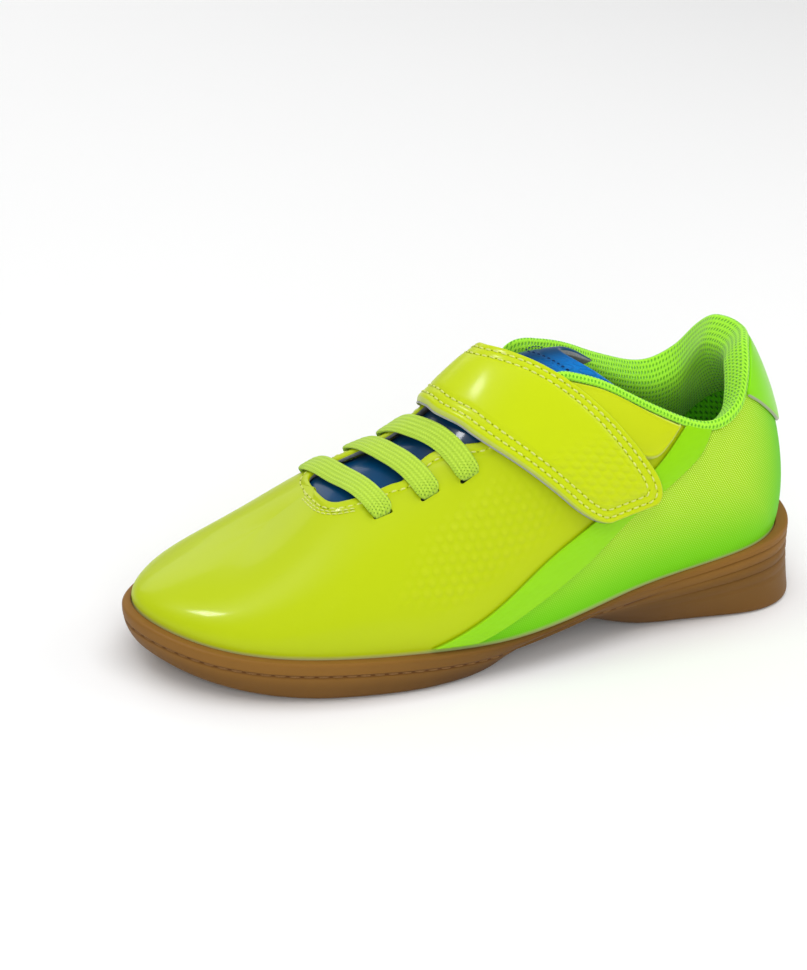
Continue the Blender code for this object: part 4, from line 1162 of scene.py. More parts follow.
# %% The sole
def build_outsole():
    points, depth, crease = sole_side()
    faces = grid_faces(len(points), SOLE_COLUMNS, 0, True)
    vertices = points.reshape(-1, 3)
    for level, height in ((0, inner_floor), (len(points) - 1, underside)):
        extra, more = fill_ring(points[level], level * SOLE_COLUMNS, len(vertices), height)
        vertices = np.concatenate([vertices, extra])
        faces += more
    spare = len(vertices) - depth.size
    marks = {
        "below": np.concatenate([depth.ravel(), np.full(spare, DEPTH_BELOW)]),
        # painted shade at the arch, where the side wall tucks in
        "arch": bell(along_share(vertices[:, 0]), SHADE_AT, SHADE_WIDTH),
        "crease": np.concatenate([crease.ravel(), np.zeros(spare)]),
    }
    piece = make_piece("gum_sole", vertices, faces, marks, [GUM_RUBBER], None, SOLE_SHARP_ANGLE)
    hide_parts("outsole")


build_outsole()

# %% [markdown]
# ## The footbed
# A soft sheet that lies on the sole's floor, inside the upper. Only its rear half can be
# seen through the collar. A plane with a Solidify modifier would give a square edge, so it
# is one closed sheet between two grids, with a rounded edge and a woven cover.

# %% Footbed
INSOLE_THICKNESS, INSOLE_COLUMNS, INSOLE_ACROSS = 0.0035, 180, 25
INSOLE_ROUND = (0.0030, 0.0016)


def build_footbed():
    t = np.linspace(0.0, RIBS, INSOLE_COLUMNS + 1)[:-1]
    half = len(t) // 2
    share = np.linspace(0.0, 1.0, INSOLE_ACROSS)
    rim = feather(t, WALL + GAP + FACET_ROOM)
    left = np.concatenate([rim[:1], rim[1:half], rim[half:half + 1]])
    right = np.concatenate([rim[:1], rim[:half:-1], rim[half:half + 1]])
    flat = left[:, None] + (right - left)[:, None] * share[None, :, None]
    width = np.linalg.norm(right - left, axis=-1)[:, None] / MM
    to_side = np.minimum(share, 1.0 - share)[None, :] * width
    drop = edge_fall(to_side, *INSOLE_ROUND)
    base = inner_floor(flat[..., 0]) + GAP
    low, high = flat.copy(), flat.copy()
    low[..., 2] = base
    high[..., 2] = base + INSOLE_THICKNESS - drop
    place = surface_place(flat[..., 0] / MM, flat[..., 1] / MM)
    piece = closed_sheet("footbed", high, low, {"place": place}, [FOOTBED])
    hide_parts("insole")


build_footbed()

# %% [markdown]
# ## The padded collar
# Foam under a green knit, rolled over the upper's edge: thick at the heel, thin at the
# front corners. Its section is a closed loop that changes along the collar, so it is
# swept by hand. Cloth simulation would swell it too, but a roll that is 2 mm thick is
# steadier when it is drawn, and the knit's relief does the rest.

# %% Collar roll
PAD_THICKNESS, PAD_FRONT_THICKNESS = 0.0070, 0.0013
PAD_DEPTH, PAD_FRONT_DEPTH = 0.0240, 0.0055
ROLL_RISE, ROLL_BULGE, ROLL_SKIRT = 0.0022, 0.0012, 0.0009
ROLL_END, ROLL_TAPER, ROLL_TIP = 5.42, 0.26, 0.15
ROLL_FINE_FROM, ROLL_FRONT = 4.2, (2.0, 4.5)
EDGE_AVERAGE, EDGE_STEP = 0.12, 0.005
# shares: of the rise, of the skirt, of the depth, of the bulge, of the inside, of the thickness
ROLL_SECTION = [
    (0.0, 1.0, 0.0, 0.25, 0.0, 0.0), (0.0, 0.75, 0.0, 0.95, 0.0, 0.0),
    (0.30, 0.0, 0.0, 1.0, 0.0, 0.0),
    (0.80, 0.0, 0.0, 0.45, 0.0, 0.0), (1.0, 0.0, 0.0, 0.0, 0.35, 0.0),
    (0.90, 0.0, 0.0, 0.0, 1.0, 0.35),
    (0.30, 0.0, 0.0, 0.0, 1.0, 0.85), (0.0, 0.0, 0.20, 0.0, 1.0, 1.0),
    (0.0, 0.0, 0.62, 0.0, 1.0, 0.68),
    (0.0, 0.0, 0.97, 0.0, 1.0, 0.16), (0.0, 0.0, 1.0, 0.0, 1.0, 0.0),
    (0.0, 0.0, 0.45, 0.0, 1.0, 0.0),
    (0.12, 0.0, 0.0, 0.0, 1.0, 0.0), (0.14, 0.0, 0.0, 0.0, 0.5, 0.0),
    (0.12, 0.0, 0.0, 0.04, 0.0, 0.0),
]
PAD_AROUND = 84


def loop_spline(knots, count):
    """Closed smooth curve through rows of points, by Catmull-Rom pieces."""
    number = len(knots)
    way = np.linspace(0.0, number, count, endpoint=False)
    i = np.floor(way).astype(int)
    f = (way - i).reshape((-1,) + (1,) * (knots.ndim - 1))
    a, b, c, d = (knots[(i + k) % number] for k in (-1, 0, 1, 2))
    square, cube = 2 * a - 5 * b + 4 * c - d, 3 * b - a - 3 * c + d
    return 0.5 * (2 * b + (c - a) * f + square * f**2 + cube * f**3)


def build_collar():
    rear = np.linspace(-ROLL_FINE_FROM, ROLL_FINE_FROM, 241)[1:-1]
    t = np.concatenate([np.linspace(-ROLL_END, -ROLL_FINE_FROM, 60), rear,
                        np.linspace(ROLL_FINE_FROM, ROLL_END, 60)])
    u = np.abs(t)
    front = smooth(u, *ROLL_FRONT)
    thick = PAD_THICKNESS + (PAD_FRONT_THICKNESS - PAD_THICKNESS) * front
    depth = PAD_DEPTH + (PAD_FRONT_DEPTH - PAD_DEPTH) * front
    inside = WALL + GAP + FACET_ROOM
    near = np.linspace(-EDGE_AVERAGE, EDGE_AVERAGE, 9)[:, None]
    edge = upper_top((t + near) % RIBS).mean(0)
    step = form(t % RIBS, edge + EDGE_STEP) - form(t % RIBS, edge - EDGE_STEP)
    per_share = np.linalg.norm(step, axis=-1) / (2 * EDGE_STEP)
    rings = []
    for rise, skirt, deep, bulge, wall, pad in ROLL_SECTION:
        inset = wall * inside + pad * thick - bulge * ROLL_BULGE
        up = rise * ROLL_RISE - skirt * ROLL_SKIRT - deep * depth
        rings.append(form(t % RIBS, edge + up / per_share, inset))
    grid = loop_spline(np.array(rings), PAD_AROUND)
    ends = quarter_round((ROLL_END - u) / ROLL_TAPER)
    core = grid.mean(0, keepdims=True)
    grid = core + (grid - core) * (ROLL_TIP + (1.0 - ROLL_TIP) * ends)[None, :, None]
    around = run_length(np.concatenate([grid, grid[:1]]), 0)[:-1]
    along = run_length(form(t % RIBS, edge)[None], 1)
    marks = {"place": surface_place(along, around).reshape(-1, 3)}
    faces = tube_faces(*grid.shape[:2])
    piece = make_piece("collar_roll", grid.reshape(-1, 3), faces, marks, [COLLAR_KNIT])
    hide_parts("collar_pad")


build_collar()

# %% [markdown]
# ## The tongue
# A soft pad under the throat with a glossy navy film on its face. Its top stands out of
# the collar, where a seam crosses it and the film turns bright blue with faint rings.
# The back is lined with pale felt, which shows as a thin edge along the top. It could be
# pulled into place with a shrinkwrap, but the form already gives its curve, so it is laid
# a set depth under the form, and the crease along the ridge is softened afterwards.

# %% Tongue film
NAVY, NAVY_DARK = paint(0, 74, 122), paint(0, 58, 98)
FILM_BLUE, FILM_RING = paint(0, 128, 220, 1.0), paint(0, 84, 160)
RING_PITCH, RING_OUT, RING_IN = 4.6, (2.1, 1.7), (1.1, 1.5)
FILM_WAVES, RING_HEIGHT, FILM_COAT = 0.25, 0.12, 0.2


def tongue_film():
    film = Finish("tongue_navy_film")
    x, y = film.place()
    bright = film.mark("bright")
    ring = nearest_dot(x + y * 0.2, y, RING_PITCH)
    rings = ring.ramp(*RING_OUT) * ring.ramp(*RING_IN)
    cloud = film.noise(14.0, 3.0)
    colour = film.mix(cloud.ramp(0.35, 0.75) * 0.6, NAVY, NAVY_DARK)
    colour = film.mix(bright * (cloud * 0.5 + 0.5), colour, FILM_BLUE)
    colour = film.mix(rings * bright * 0.28, colour, FILM_RING)
    height = cloud * FILM_WAVES + rings * bright * RING_HEIGHT
    return film.close(colour, 0.26 + cloud * 0.12, height, FILM_COAT, Coat_Roughness=0.10)


TONGUE_FILM = tongue_film()

# %% The tongue's form
TONGUE_THICKNESS, TONGUE_THIN_EDGE, TONGUE_SLANT = 0.0028, 0.45, 3.3
# way up, station, half width, share of its thickness below the wall
TONGUE = [
    (0.00, 9.00, 0.10, 0.00), (0.06, 8.60, 0.17, 0.00),
    (0.25, 7.60, 0.28, 0.00), (0.50, 6.60, 0.34, 0.00),
    (0.75, 5.80, 0.37, 0.30), (0.88, 5.30, 0.35, 0.80), (1.00, 4.80, 0.32, 1.10),
]
TONGUE_SEAM, TONGUE_SAG, SAG_START, SAG_END = 0.915, 0.0013, (0.06, 0.25), (0.20, 0.40)
TONGUE_SEAM_WIDTH, TONGUE_SEAM_DEPTH = 0.006, 0.0004
TONGUE_ROUND, TONGUE_PUFF_REACH, TONGUE_PUFF = (0.0016, 0.0012), 0.006, 0.0002
RIDGE_PASSES = 90
BRIGHT_FROM, BRIGHT_SIDE = (TONGUE_SEAM - 0.12, TONGUE_SEAM), (0.05, 0.65)


def tongue_place(way, side, deep):
    """Point of the tongue: way up it, share across it, extra depth below its face."""
    g = side * table_curve(TONGUE, way, 2)
    slant = TONGUE_SLANT * np.abs(g) ** 1.2
    u = table_curve(TONGUE, way, 1) - slant * smooth(way, 0.4, 1.0)
    base = WALL + GAP + TONGUE_THICKNESS * table_curve(TONGUE, way, 3)
    sag = TONGUE_SAG * smooth(way, *SAG_START) * smooth(1.0 - way, *SAG_END)
    return across_form(u, g, base + sag * (1.0 - side**4) + deep)


def soften_ridge(sheet):
    """Rounds the crease along the middle of a grid, where the ribs of both sides meet."""
    number = sheet.shape[1]
    share = np.clip(1.5 - 3.0 * np.abs(np.linspace(-1.0, 1.0, number)), 0.0, 1.0)[None, 1:-1, None]
    for _ in range(RIDGE_PASSES):
        mean = 0.5 * sheet[:, 1:-1] + 0.25 * (sheet[:, :-2] + sheet[:, 2:])
        sheet[:, 1:-1] += (mean - sheet[:, 1:-1]) * share
    return sheet


def build_tongue():
    way = ends_fine(120)[:, None]
    side = (ends_fine(61) * 2.0 - 1.0)[None, :]
    flat = flat_grid(np.swapaxes(tongue_place(way, side, 0.0), 0, 1))
    distance = border_distance(flat).T
    seam = bell(way, TONGUE_SEAM, TONGUE_SEAM_WIDTH, TONGUE_SEAM_DEPTH)
    fall = edge_fall(distance, *TONGUE_ROUND)
    puff = (1.0 - edge_fall(distance, TONGUE_PUFF_REACH, 1.0)) * TONGUE_PUFF
    outer = soften_ridge(tongue_place(way, side, fall + seam - puff))
    under = TONGUE_THICKNESS * (1.0 - TONGUE_THIN_EDGE * np.abs(side) ** 4) - fall * 0.3
    inner = soften_ridge(tongue_place(way, side, under))
    bright = smooth(way, *BRIGHT_FROM) * smooth(-side, *BRIGHT_SIDE)
    marks = {"place": surface_place(flat[..., 0].T, flat[..., 1].T), "bright": bright}
    piece = closed_sheet("tongue_pad", outer, inner, marks, [TONGUE_FILM, LINING_FELT], 1)
    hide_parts("tongue")


build_tongue()

# %% [markdown]
# ## Stripes, collar panels and the heel tab
# Thin pieces sewn or welded on the skin. Each is a sheet over the form, with a rounded
# edge and a little puff, made from two edge curves or from a lower edge and the collar
# seam. The stripe is glossy green with faint dimples, the panel is a smooth lime patch
# with a raised welt, and the tab is smooth green with a grey cut edge. A Solidify modifier
# could thicken a single sheet too, but its edge would stay square.

# %% Overlay finishes
OVERLAY_THICKNESS = 0.0008
OVERLAY_LOW, OVERLAY_HIGH = GAP, GAP + OVERLAY_THICKNESS
STRIPE_GREEN = paint(154, 230, 0)


def overlay_skin(name, base, light, edge_colour, rough, dome_share, edge_width):
    skin = Finish(name)
    x, y = skin.place()
    distance = skin.mark("edge")
    domes = dimples(x, y) * dome_share
    cloud = skin.noise(22.0, 2.0)
    # Painted highlight: the tops of the dimple domes are painted lighter; the cloud varies the
    # tone at random.
    colour = skin.mix(cloud * 0.30 + domes * 0.3, base, light)
    colour = skin.mix(distance.ramp(edge_width, edge_width * 0.4), colour, edge_colour)
    height = domes * DIMPLE_HEIGHT + grain(skin, 0.010)
    return skin.close(colour, cloud * 0.06 + rough, height, 0.2, Coat_Roughness=0.14)


# The stripe's darker olive border is painted shade along its edge.
STRIPE_SKIN = overlay_skin("stripe_gloss_green", STRIPE_GREEN, paint(180, 250, 30),
                           paint(146, 190, 10), 0.22, 0.15, 0.35)
PANEL_SKIN = overlay_skin("panel_soft_lime", paint(212, 228, 6), LIME_LIGHT,
                          paint(226, 236, 120), 0.42, 0.0, 0.8)
TAB_SKIN = overlay_skin("heel_tab_green", paint(140, 236, 0), paint(166, 246, 30),
                        paint(176, 186, 150), 0.32, 0.0, 0.7)

# %% A sheet over the form
PUFF_REACH, WELT_AT, WELT_WIDTH = 0.007, 0.9, 0.5


def overlay_marks(points):
    flat = flat_grid(points)
    return {"place": surface_place(flat[..., 0], flat[..., 1]), "edge": border_distance(flat)}


def build_overlay(name, node, t, h, skin, puff, radius=0.0007, welt=0.0,
                  cut_low=False):
    """A sheet over the form, with a rounded edge, a puff and an optional raised welt."""
    flat = form(t, h, -OVERLAY_HIGH)
    marks = overlay_marks(flat)
    distance = marks["edge"]
    fall = edge_fall(distance, radius, OVERLAY_THICKNESS * 0.85)
    swell = puff * (1.0 - edge_fall(distance, PUFF_REACH, 1.0))
    rim = bell(distance, WELT_AT, WELT_WIDTH, welt)
    outer = form(t, h, -(OVERLAY_HIGH - fall + swell + rim))
    inner = form(t, h, -OVERLAY_LOW)
    if cut_low:
        marks["edge"] = run_length(flat, 0)
    piece = closed_sheet(name, outer, inner, marks, [skin])
    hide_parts(node)

# %% Stripes
def build_stripe(name, node, mirror):
    way = np.linspace(0.0, len(STRIPE) - 1.0, 120)[None, :]
    rows = [(float(k),) + row for k, row in enumerate(STRIPE)]
    front_u, front_h, rear_u, rear_h = (table_curve(rows, way, c) for c in (1, 2, 3, 4))
    share = ends_fine(33)[:, None]
    u = front_u + (rear_u - front_u) * share
    h = front_h + (rear_h - front_h) * share
    t = RIBS - u if mirror else u
    build_overlay(name, node, t, h, STRIPE_SKIN, 0.0001, 0.0006)


build_stripe("side_stripe_outer", "stripe_lateral", False)
build_stripe("side_stripe_inner", "stripe_medial", True)

# %% Collar panels
# station, height share of the lower edge
PANEL = [
    (4.90, 0.600), (4.60, 0.520), (4.30, 0.460), (4.00, 0.420), (3.82, 0.404),
    (3.66, 0.405), (3.46, 0.430), (3.28, 0.460),
]
TAB_INSET, LEAST_SHARE = 0.0013, 0.012


def build_panel(name, node, mirror):
    way = (ends_fine(90) * (len(PANEL) - 1.0))[None, :]
    rows = [(float(k),) + row for k, row in enumerate(PANEL)]
    u, low = table_curve(rows, way, 1), table_curve(rows, way, 2)
    top = share_at_height(u, seam_height(u) - TAB_INSET)
    h = low + np.maximum(top - low, LEAST_SHARE) * ends_fine(41)[:, None]
    t = (RIBS - u if mirror else u) + 0.0 * h
    build_overlay(name, node, t, h, PANEL_SKIN, 0.0010, 0.0008, 0.00025)


build_panel("collar_panel_outer", "panel_lateral", False)
build_panel("collar_panel_inner", "panel_medial", True)

# %% Heel tab
# rib, height share of the lower edge
HEEL_TAB = [
    (0.00, 0.300), (0.35, 0.305), (0.70, 0.330), (1.23, 0.398), (1.58, 0.446), (1.83, 0.476),
]


def build_heel_tab():
    reach = HEEL_TAB[-1][0]
    t = ((ends_fine(121) * 2.0 - 1.0) * reach)[None, :]
    low = table_curve(HEEL_TAB, np.abs(t))
    top = share_at_height(t, seam_height(t) - TAB_INSET)
    h = low + np.maximum(top - low, LEAST_SHARE) * ends_fine(45)[:, None]
    build_overlay("heel_tab_shield", "heel_tab", t % RIBS + 0.0 * h, h, TAB_SKIN,
                  0.0002, cut_low=True)


build_heel_tab()

# %% [markdown]
# ## Stitches
# Thread shows as short raised bars that dive into needle holes. Each bar is a small
# closed spindle set along a seam line, and each hole a dark bead sunk in the skin. A
# texture would be cheaper, but real bars catch the light and survive a close view.

# %% Thread finishes
def thread(name, light, dark):
    yarn = Finish(name)
    twist = yarn.noise(0.35, 2.0)
    return yarn.close(yarn.mix(twist, dark, light), 0.7, twist * 0.05)


PALE_THREAD = thread("pale_lime_thread", paint(238, 244, 150, 0.95), paint(200, 214, 80))
TAN_THREAD = thread("tan_thread", paint(168, 126, 78), paint(110, 76, 42))
NAVY_THREAD = thread("navy_thread", paint(20, 60, 110), paint(8, 26, 60))
# Painted shade: the needle holes are dark olive beads, the shade in the holes where the thread
# dives in.
NEEDLE_HOLE = thread("needle_hole_dark", paint(168, 184, 20), paint(126, 140, 8))

# %% Bars and holes along a line
SPINDLE_SIDES, SPINDLE_RINGS, SPINDLE_FLATNESS = 6, 5, 0.75
SPINDLE_ANGLE, SPINDLE_MERGE = 60.0, 1e-7
HOLE_LENGTH, HOLE_WIDTH, HOLE_LIFT = 0.00050, 0.00044, 0.00002
U_STEP, G_STEP = 0.01, 0.004
# pitch in mm, then length, width and lift in metres
STRAP_STITCH, THROAT_STITCH = (2.55, 0.0019, 0.00055, 0.00022), (2.6, 0.0019, 0.0005, 0.00018)
FRONT_STITCH, SOLE_STITCH = (1.7, 0.0016, 0.00042, 0.00018), (4.0, 0.0034, 0.0006, 0.0001)
TONGUE_STITCH = (1.5, 0.0011, 0.00045, 0.00018)


def resample(points, spacing):
    """Points with their normals at even steps along a line; spacing in mm."""
    length = run_length(points[:, :3], 0)
    count = max(int(length[-1] / spacing), 1)
    at = (np.arange(count) + 0.5) * (length[-1] / count)
    return np.stack([np.interp(at, length, points[:, k]) for k in range(points.shape[1])], -1)


def spindles(name, centres, directions, normals, length, width, lift, finish, material_slot):
    """Closed spindles, one for each centre: a joined piece of thread bars."""
    side = np.cross(normals, directions)
    along = np.linspace(-1.0, 1.0, SPINDLE_RINGS + 2)[1:-1]
    turn = np.arange(SPINDLE_SIDES) * math.tau / SPINDLE_SIDES
    thick = np.sqrt(1.0 - np.abs(along) ** 3)
    rings = []
    for a, r in zip(along, thick):
        middle = centres + directions * a * length / 2 + normals * lift * (1.0 - 1.4 * a * a)
        for angle in turn:
            away = side * math.cos(angle) + normals * math.sin(angle) * SPINDLE_FLATNESS
            rings.append(middle + away * r * width / 2)
    tips = [centres + directions * s * length / 2 - normals * lift * 0.6 for s in (-1.0, 1.0)]
    points = np.stack(rings + tips, 1)
    per = points.shape[1]
    pattern = grid_faces(SPINDLE_RINGS, SPINDLE_SIDES, 0, True)
    first, last = SPINDLE_RINGS * SPINDLE_SIDES, SPINDLE_RINGS * SPINDLE_SIDES + 1
    end = (SPINDLE_RINGS - 1) * SPINDLE_SIDES
    for j in range(SPINDLE_SIDES):
        k = (j + 1) % SPINDLE_SIDES
        pattern.append([first, k, j])
        pattern.append([last, end + j, end + k])
    faces = [[base * per + v for v in face] for base in range(len(points)) for face in pattern]
    piece = make_piece(name, points.reshape(-1, 3), faces, {}, [finish], None,
                       SPINDLE_ANGLE, SPINDLE_MERGE)


def sew(name, lines, stitch, finish, material_slot, holes=True):
    """Bars and needle holes along several lines of points with normals (six columns)."""
    pitch, *size = stitch
    centres, directions, normals = [], [], []
    for line in lines:
        spots = resample(line, pitch)
        place, normal = spots[:, :3], unit(spots[:, 3:])
        way = np.gradient(place, axis=0)
        centres.append(place)
        directions.append(unit(way - normal * np.sum(way * normal, -1, keepdims=True)))
        normals.append(normal)
    centres, directions, normals = (np.concatenate(v) for v in (centres, directions, normals))
    spindles(name, centres, directions, normals, *size, finish, material_slot)
    if holes:
        ends = centres + directions * pitch * MM * 0.5 + normals * HOLE_LIFT
        spindles(name + "_holes", ends, directions, normals, HOLE_LENGTH, HOLE_WIDTH, HOLE_LIFT,
                 NEEDLE_HOLE, material_slot)


def form_line(u, g):
    """A line over the form with its normals: places and normals in six columns."""
    du = across_form(u + U_STEP, g) - across_form(u - U_STEP, g)
    dg = across_form(u, g + G_STEP) - across_form(u, g - G_STEP)
    normal = unit(np.cross(du, dg))
    return np.concatenate([across_form(u, g), np.where(normal[..., 2:3] < 0, -normal, normal)], -1)

# %% A line inside a sheet
SHOE_CORE, CORE_WEIGHTS = np.array([0.0, 0.0, 0.02]), np.array([0.2, 1.0, 1.0])


def level_line(outer, distance, level):
    """The line at a set distance from a sheet's border, chained cell by cell."""
    links = {}
    rows, columns = distance.shape
    for i in range(rows - 1):
        for j in range(columns - 1):
            crossed = []
            for a, b in (((i, j), (i, j + 1)), ((i, j + 1), (i + 1, j + 1)),
                         ((i + 1, j), (i + 1, j + 1)), ((i, j), (i + 1, j))):
                if (distance[a] > level) != (distance[b] > level):
                    crossed.append((a, b))
            if len(crossed) == 2:
                links.setdefault(crossed[0], []).append(crossed[1])
                links.setdefault(crossed[1], []).append(crossed[0])
    normals = sheet_normals(outer)
    start = min(links)
    chain, before = [start], None
    while True:
        onward = [k for k in links[chain[-1]] if k != before]
        if not onward or onward[0] == start:
            break
        before = chain[-1]
        chain.append(onward[0])
    spots = []
    for a, b in chain + chain[:1]:
        share = (level - distance[a]) / (distance[b] - distance[a])
        place = outer[a] + (outer[b] - outer[a]) * share
        spots.append(np.concatenate([place, normals[a] + (normals[b] - normals[a]) * share]))
    return np.array(spots)


def sheet_normals(outer):
    normal = np.cross(np.gradient(outer, axis=0), np.gradient(outer, axis=1))
    normal = normal / np.maximum(np.linalg.norm(normal, axis=-1, keepdims=True), TINY)
    outwards = np.sum(normal * (outer - SHOE_CORE) * CORE_WEIGHTS, -1, keepdims=True)
    return np.where(outwards < 0, -normal, normal)

# %% [markdown]
# ## The closing strap
# A wide band that is sewn down at the inner side of the sole, crosses the instep and
# closes on the outer side with a rounded end. It is two layers: a pale felt backing and
# the neon face, held by two rows of stitches that press furrows into the face. The
# free end carries the same dimples as the vamp. One thick sheet would look like a cut
# strip of rubber; two layers show the pale line that the real edge has.

# %% Strap finish
STRAP_LIME = paint(210, 230, 0, 0.82)


def strap_skin():
    skin = Finish("strap_neon_face")
    x, y = skin.place()
    distance = skin.mark("edge")
    domes = dimples(x, y) * skin.mark("dimple")
    cloud = skin.noise(24.0, 2.0)
    # Painted highlight: the tops of the dimple domes on the free end are painted lighter; the
    # cloud varies the tone at random.
    colour = skin.mix(cloud * 0.25 + domes * 0.30, STRAP_LIME, LIME_LIGHT)
    colour = skin.mix(distance.ramp(0.45, 0.15) * 0.4, colour, PALE_EDGE)
    height = domes * DIMPLE_HEIGHT + grain(skin)
    return skin.close(colour, cloud * 0.06 + 0.40, height, 0.15, Coat_Roughness=0.18)


STRAP_SKIN = strap_skin()

# %% Strap outline
# signed distance from the ridge, station of the rear edge, station of the front edge
STRAP_EDGES = [
    (-0.76, 3.53, 4.76), (-0.68, 3.72, 5.03), (-0.537, 4.12, 5.59), (-0.456, 4.39, 5.89),
    (-0.394, 4.62, 6.09), (-0.30, 4.98, 6.33), (-0.225, 5.26, 6.47), (-0.16, 5.48, 6.59),
    (-0.08, 5.68, 6.70), (0.00, 5.80, 6.74), (0.08, 5.82, 6.74), (0.16, 5.80, 6.70),
    (0.225, 5.72, 6.65), (0.30, 5.60, 6.56), (0.394, 5.36, 6.38), (0.456, 5.16, 6.20),
    (0.537, 4.86, 5.94), (0.68, 4.34, 5.45), (0.76, 4.08, 5.18), (0.93, 3.62, 4.66),
]
STRAP_FREE, STRAP_SEWN, STRAP_CORNER, STRAP_PULL = 0.727, 0.930, 0.095, 0.22
STRAP_LOW = GAP + OVERLAY_THICKNESS + GAP + FACET_ROOM
STRAP_THICKNESS, BACKING_THICKNESS = 0.0024, 0.0009
STRAP_HIGH = STRAP_LOW + STRAP_THICKNESS
FACE_ROUND, BACKING_ROUND = (0.0009, 0.0011), (0.0004, 0.0003)
STITCH_ROWS, STITCH_FURROW = (2.1, 4.6), (0.55, 0.00026)
STRAP_PUFF_REACH, STRAP_PUFF = 0.006, 0.0004
STRAP_DIMPLES_FROM, STRAP_DIMPLES_EDGE = (0.44, 0.56), (5.0, 6.5)
BACKING_SHOWS, BACKING_BORDER = 0.0004, 1.2


def strap_places(columns, rows):
    """Station and distance from the ridge over the strap, columns along it."""
    g = (STRAP_SEWN - ends_fine(columns) * (STRAP_SEWN + STRAP_FREE))[None, :]
    rear, front = table_curve(STRAP_EDGES, g, 1), table_curve(STRAP_EDGES, g, 2)
    pull = STRAP_PULL * (1.0 - quarter_round((STRAP_FREE + g) / STRAP_CORNER))
    share = ends_fine(rows)[:, None]
    u = rear + (front - rear) * (pull + (1.0 - 2.0 * pull) * share)
    return u, g + 0.0 * u

# %% Strap layers
def build_strap():
    u, g = strap_places(190, 61)
    flat = flat_grid(across_form(u, g, -STRAP_HIGH))
    distance = border_distance(flat)
    near_end = smooth(-g, *STRAP_DIMPLES_FROM) * smooth(distance, *STRAP_DIMPLES_EDGE)
    place = surface_place(flat[..., 0], flat[..., 1])
    marks = {"place": place, "edge": distance, "dimple": near_end}
    fall = edge_fall(distance, *FACE_ROUND)
    furrows = sum(bell(distance, at, *STITCH_FURROW) for at in STITCH_ROWS)
    past_rows = np.maximum(distance - STITCH_ROWS[1], 0.0)
    puff = (1.0 - edge_fall(past_rows, STRAP_PUFF_REACH, 1.0)) * STRAP_PUFF
    puff = puff * smooth(distance, STITCH_ROWS[1], STITCH_ROWS[1] + 1.0)
    outer = across_form(u, g, -(STRAP_HIGH - fall - furrows + puff))
    inner = across_form(u, g, -(STRAP_LOW + BACKING_THICKNESS * 0.9))
    face = closed_sheet("strap_face", outer, inner, marks, [STRAP_SKIN])
    fall_back = edge_fall(distance, *BACKING_ROUND)
    back_outer = across_form(u, g, -(STRAP_LOW + BACKING_THICKNESS - fall_back))
    back_inner = across_form(u, g, -(STRAP_LOW + fall_back))
    grow = grow_border(back_outer, back_inner, distance)
    backing = closed_sheet("strap_backing", *grow, marks, [BACKING])
    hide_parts("strap")
    lines = [level_line(outer, distance, at) for at in STITCH_ROWS]
    sew("strap_stitches", lines, STRAP_STITCH, PALE_THREAD, "lime_strap")


def grow_border(outer, inner, distance):
    """Moves a sheet's border a little outwards, so that it shows under the layer above."""
    share = np.clip(1.0 - distance / BACKING_BORDER, 0.0, 1.0)[..., None]
    grown = []
    for sheet in (outer, inner):
        rows = np.linspace(0.0, 1.0, len(sheet))[:, None, None]
        push = np.where(rows < 0.5, sheet[0] - sheet[3], sheet[-1] - sheet[-4])
        push = push / np.maximum(np.linalg.norm(push, axis=-1, keepdims=True), TINY)
        grown.append(sheet + push * BACKING_SHOWS * share)
    return grown


build_strap()

# %% [markdown]
# ## Elastic laces
# Three flat knitted bars that never open: each comes out of a slot beside the throat,
# crosses the tongue and dives into the slot on the other side. A bevelled curve would
# twist on the way, so a section with lengthwise ribs is swept here with its own frame at
# every point, and the knit's stitches are bump. They are fixed bars and not free cords,
# so they are plain pieces of the shoe.

# %% Lace finish
LACE_LIME, LACE_SHADE = paint(206, 240, 80, 0.88), paint(172, 218, 44, 0.88)
LACE_FURROW, LACE_PIN = paint(132, 180, 20), paint(110, 160, 10)
VEE_PITCH, VEE_SWING, RIB_PITCH, PIN_PITCH = 0.9, 0.35, 1.3, 0.95
VEE_HEIGHT, LACE_RIB_RELIEF, FUZZ_HEIGHT, PIN_DEPTH = 0.07, 0.14, 0.04, 0.12


def lace_knit():
    yarn = Finish("lace_knit_lime")
    x, y = yarn.place()
    swing = (y * (math.tau / (2 * RIB_PITCH))).wave() * VEE_SWING
    vee = ((x + swing) * (math.tau / VEE_PITCH)).wave() * 0.5 + 0.5
    rows = (y * (math.tau / RIB_PITCH)).wave() * 0.5 + 0.5
    pin = nearest_dot(x, y, PIN_PITCH).ramp(0.26, 0.12) * (yarn.mark("end") * 0.7 + 0.12)
    fuzz = yarn.noise(0.3, 3.0)
    colour = yarn.mix(vee * 0.35 + fuzz * 0.25, LACE_LIME, LACE_SHADE)
    # Painted shade: the furrows between the lengthwise ribs and the sunk pin dots are painted
    # darker, the dots most near the ends.
    colour = yarn.mix((1.0 - rows) * 0.35, colour, LACE_FURROW)
    colour = yarn.mix(pin, colour, LACE_PIN)
    relief = vee * VEE_HEIGHT + rows * LACE_RIB_RELIEF + fuzz * FUZZ_HEIGHT
    height = relief - pin * PIN_DEPTH
    return yarn.close(colour, 0.78, height, None, Sheen_Weight=0.2)


LACE_KNIT = lace_knit()

# %% Lace bars
LACE_WIDTH, LACE_THICKNESS, LACE_LIFT, LACE_SINK = 0.0070, 0.0015, 0.00045, 0.0025
LACE_RIBS, LACE_RIB_HEIGHT, LACE_BOW, LACE_AROUND = 5, 0.12, 0.05, 72
LACE_SAG, LACE_TAPER, LACE_DIVE = (0.03, 0.50), 3.2, (0.0026, 0.0034)
LACE_SIDE_POWER, LACE_TOP_POWER, LACE_ANGLE = 0.62, 0.75, 70.0


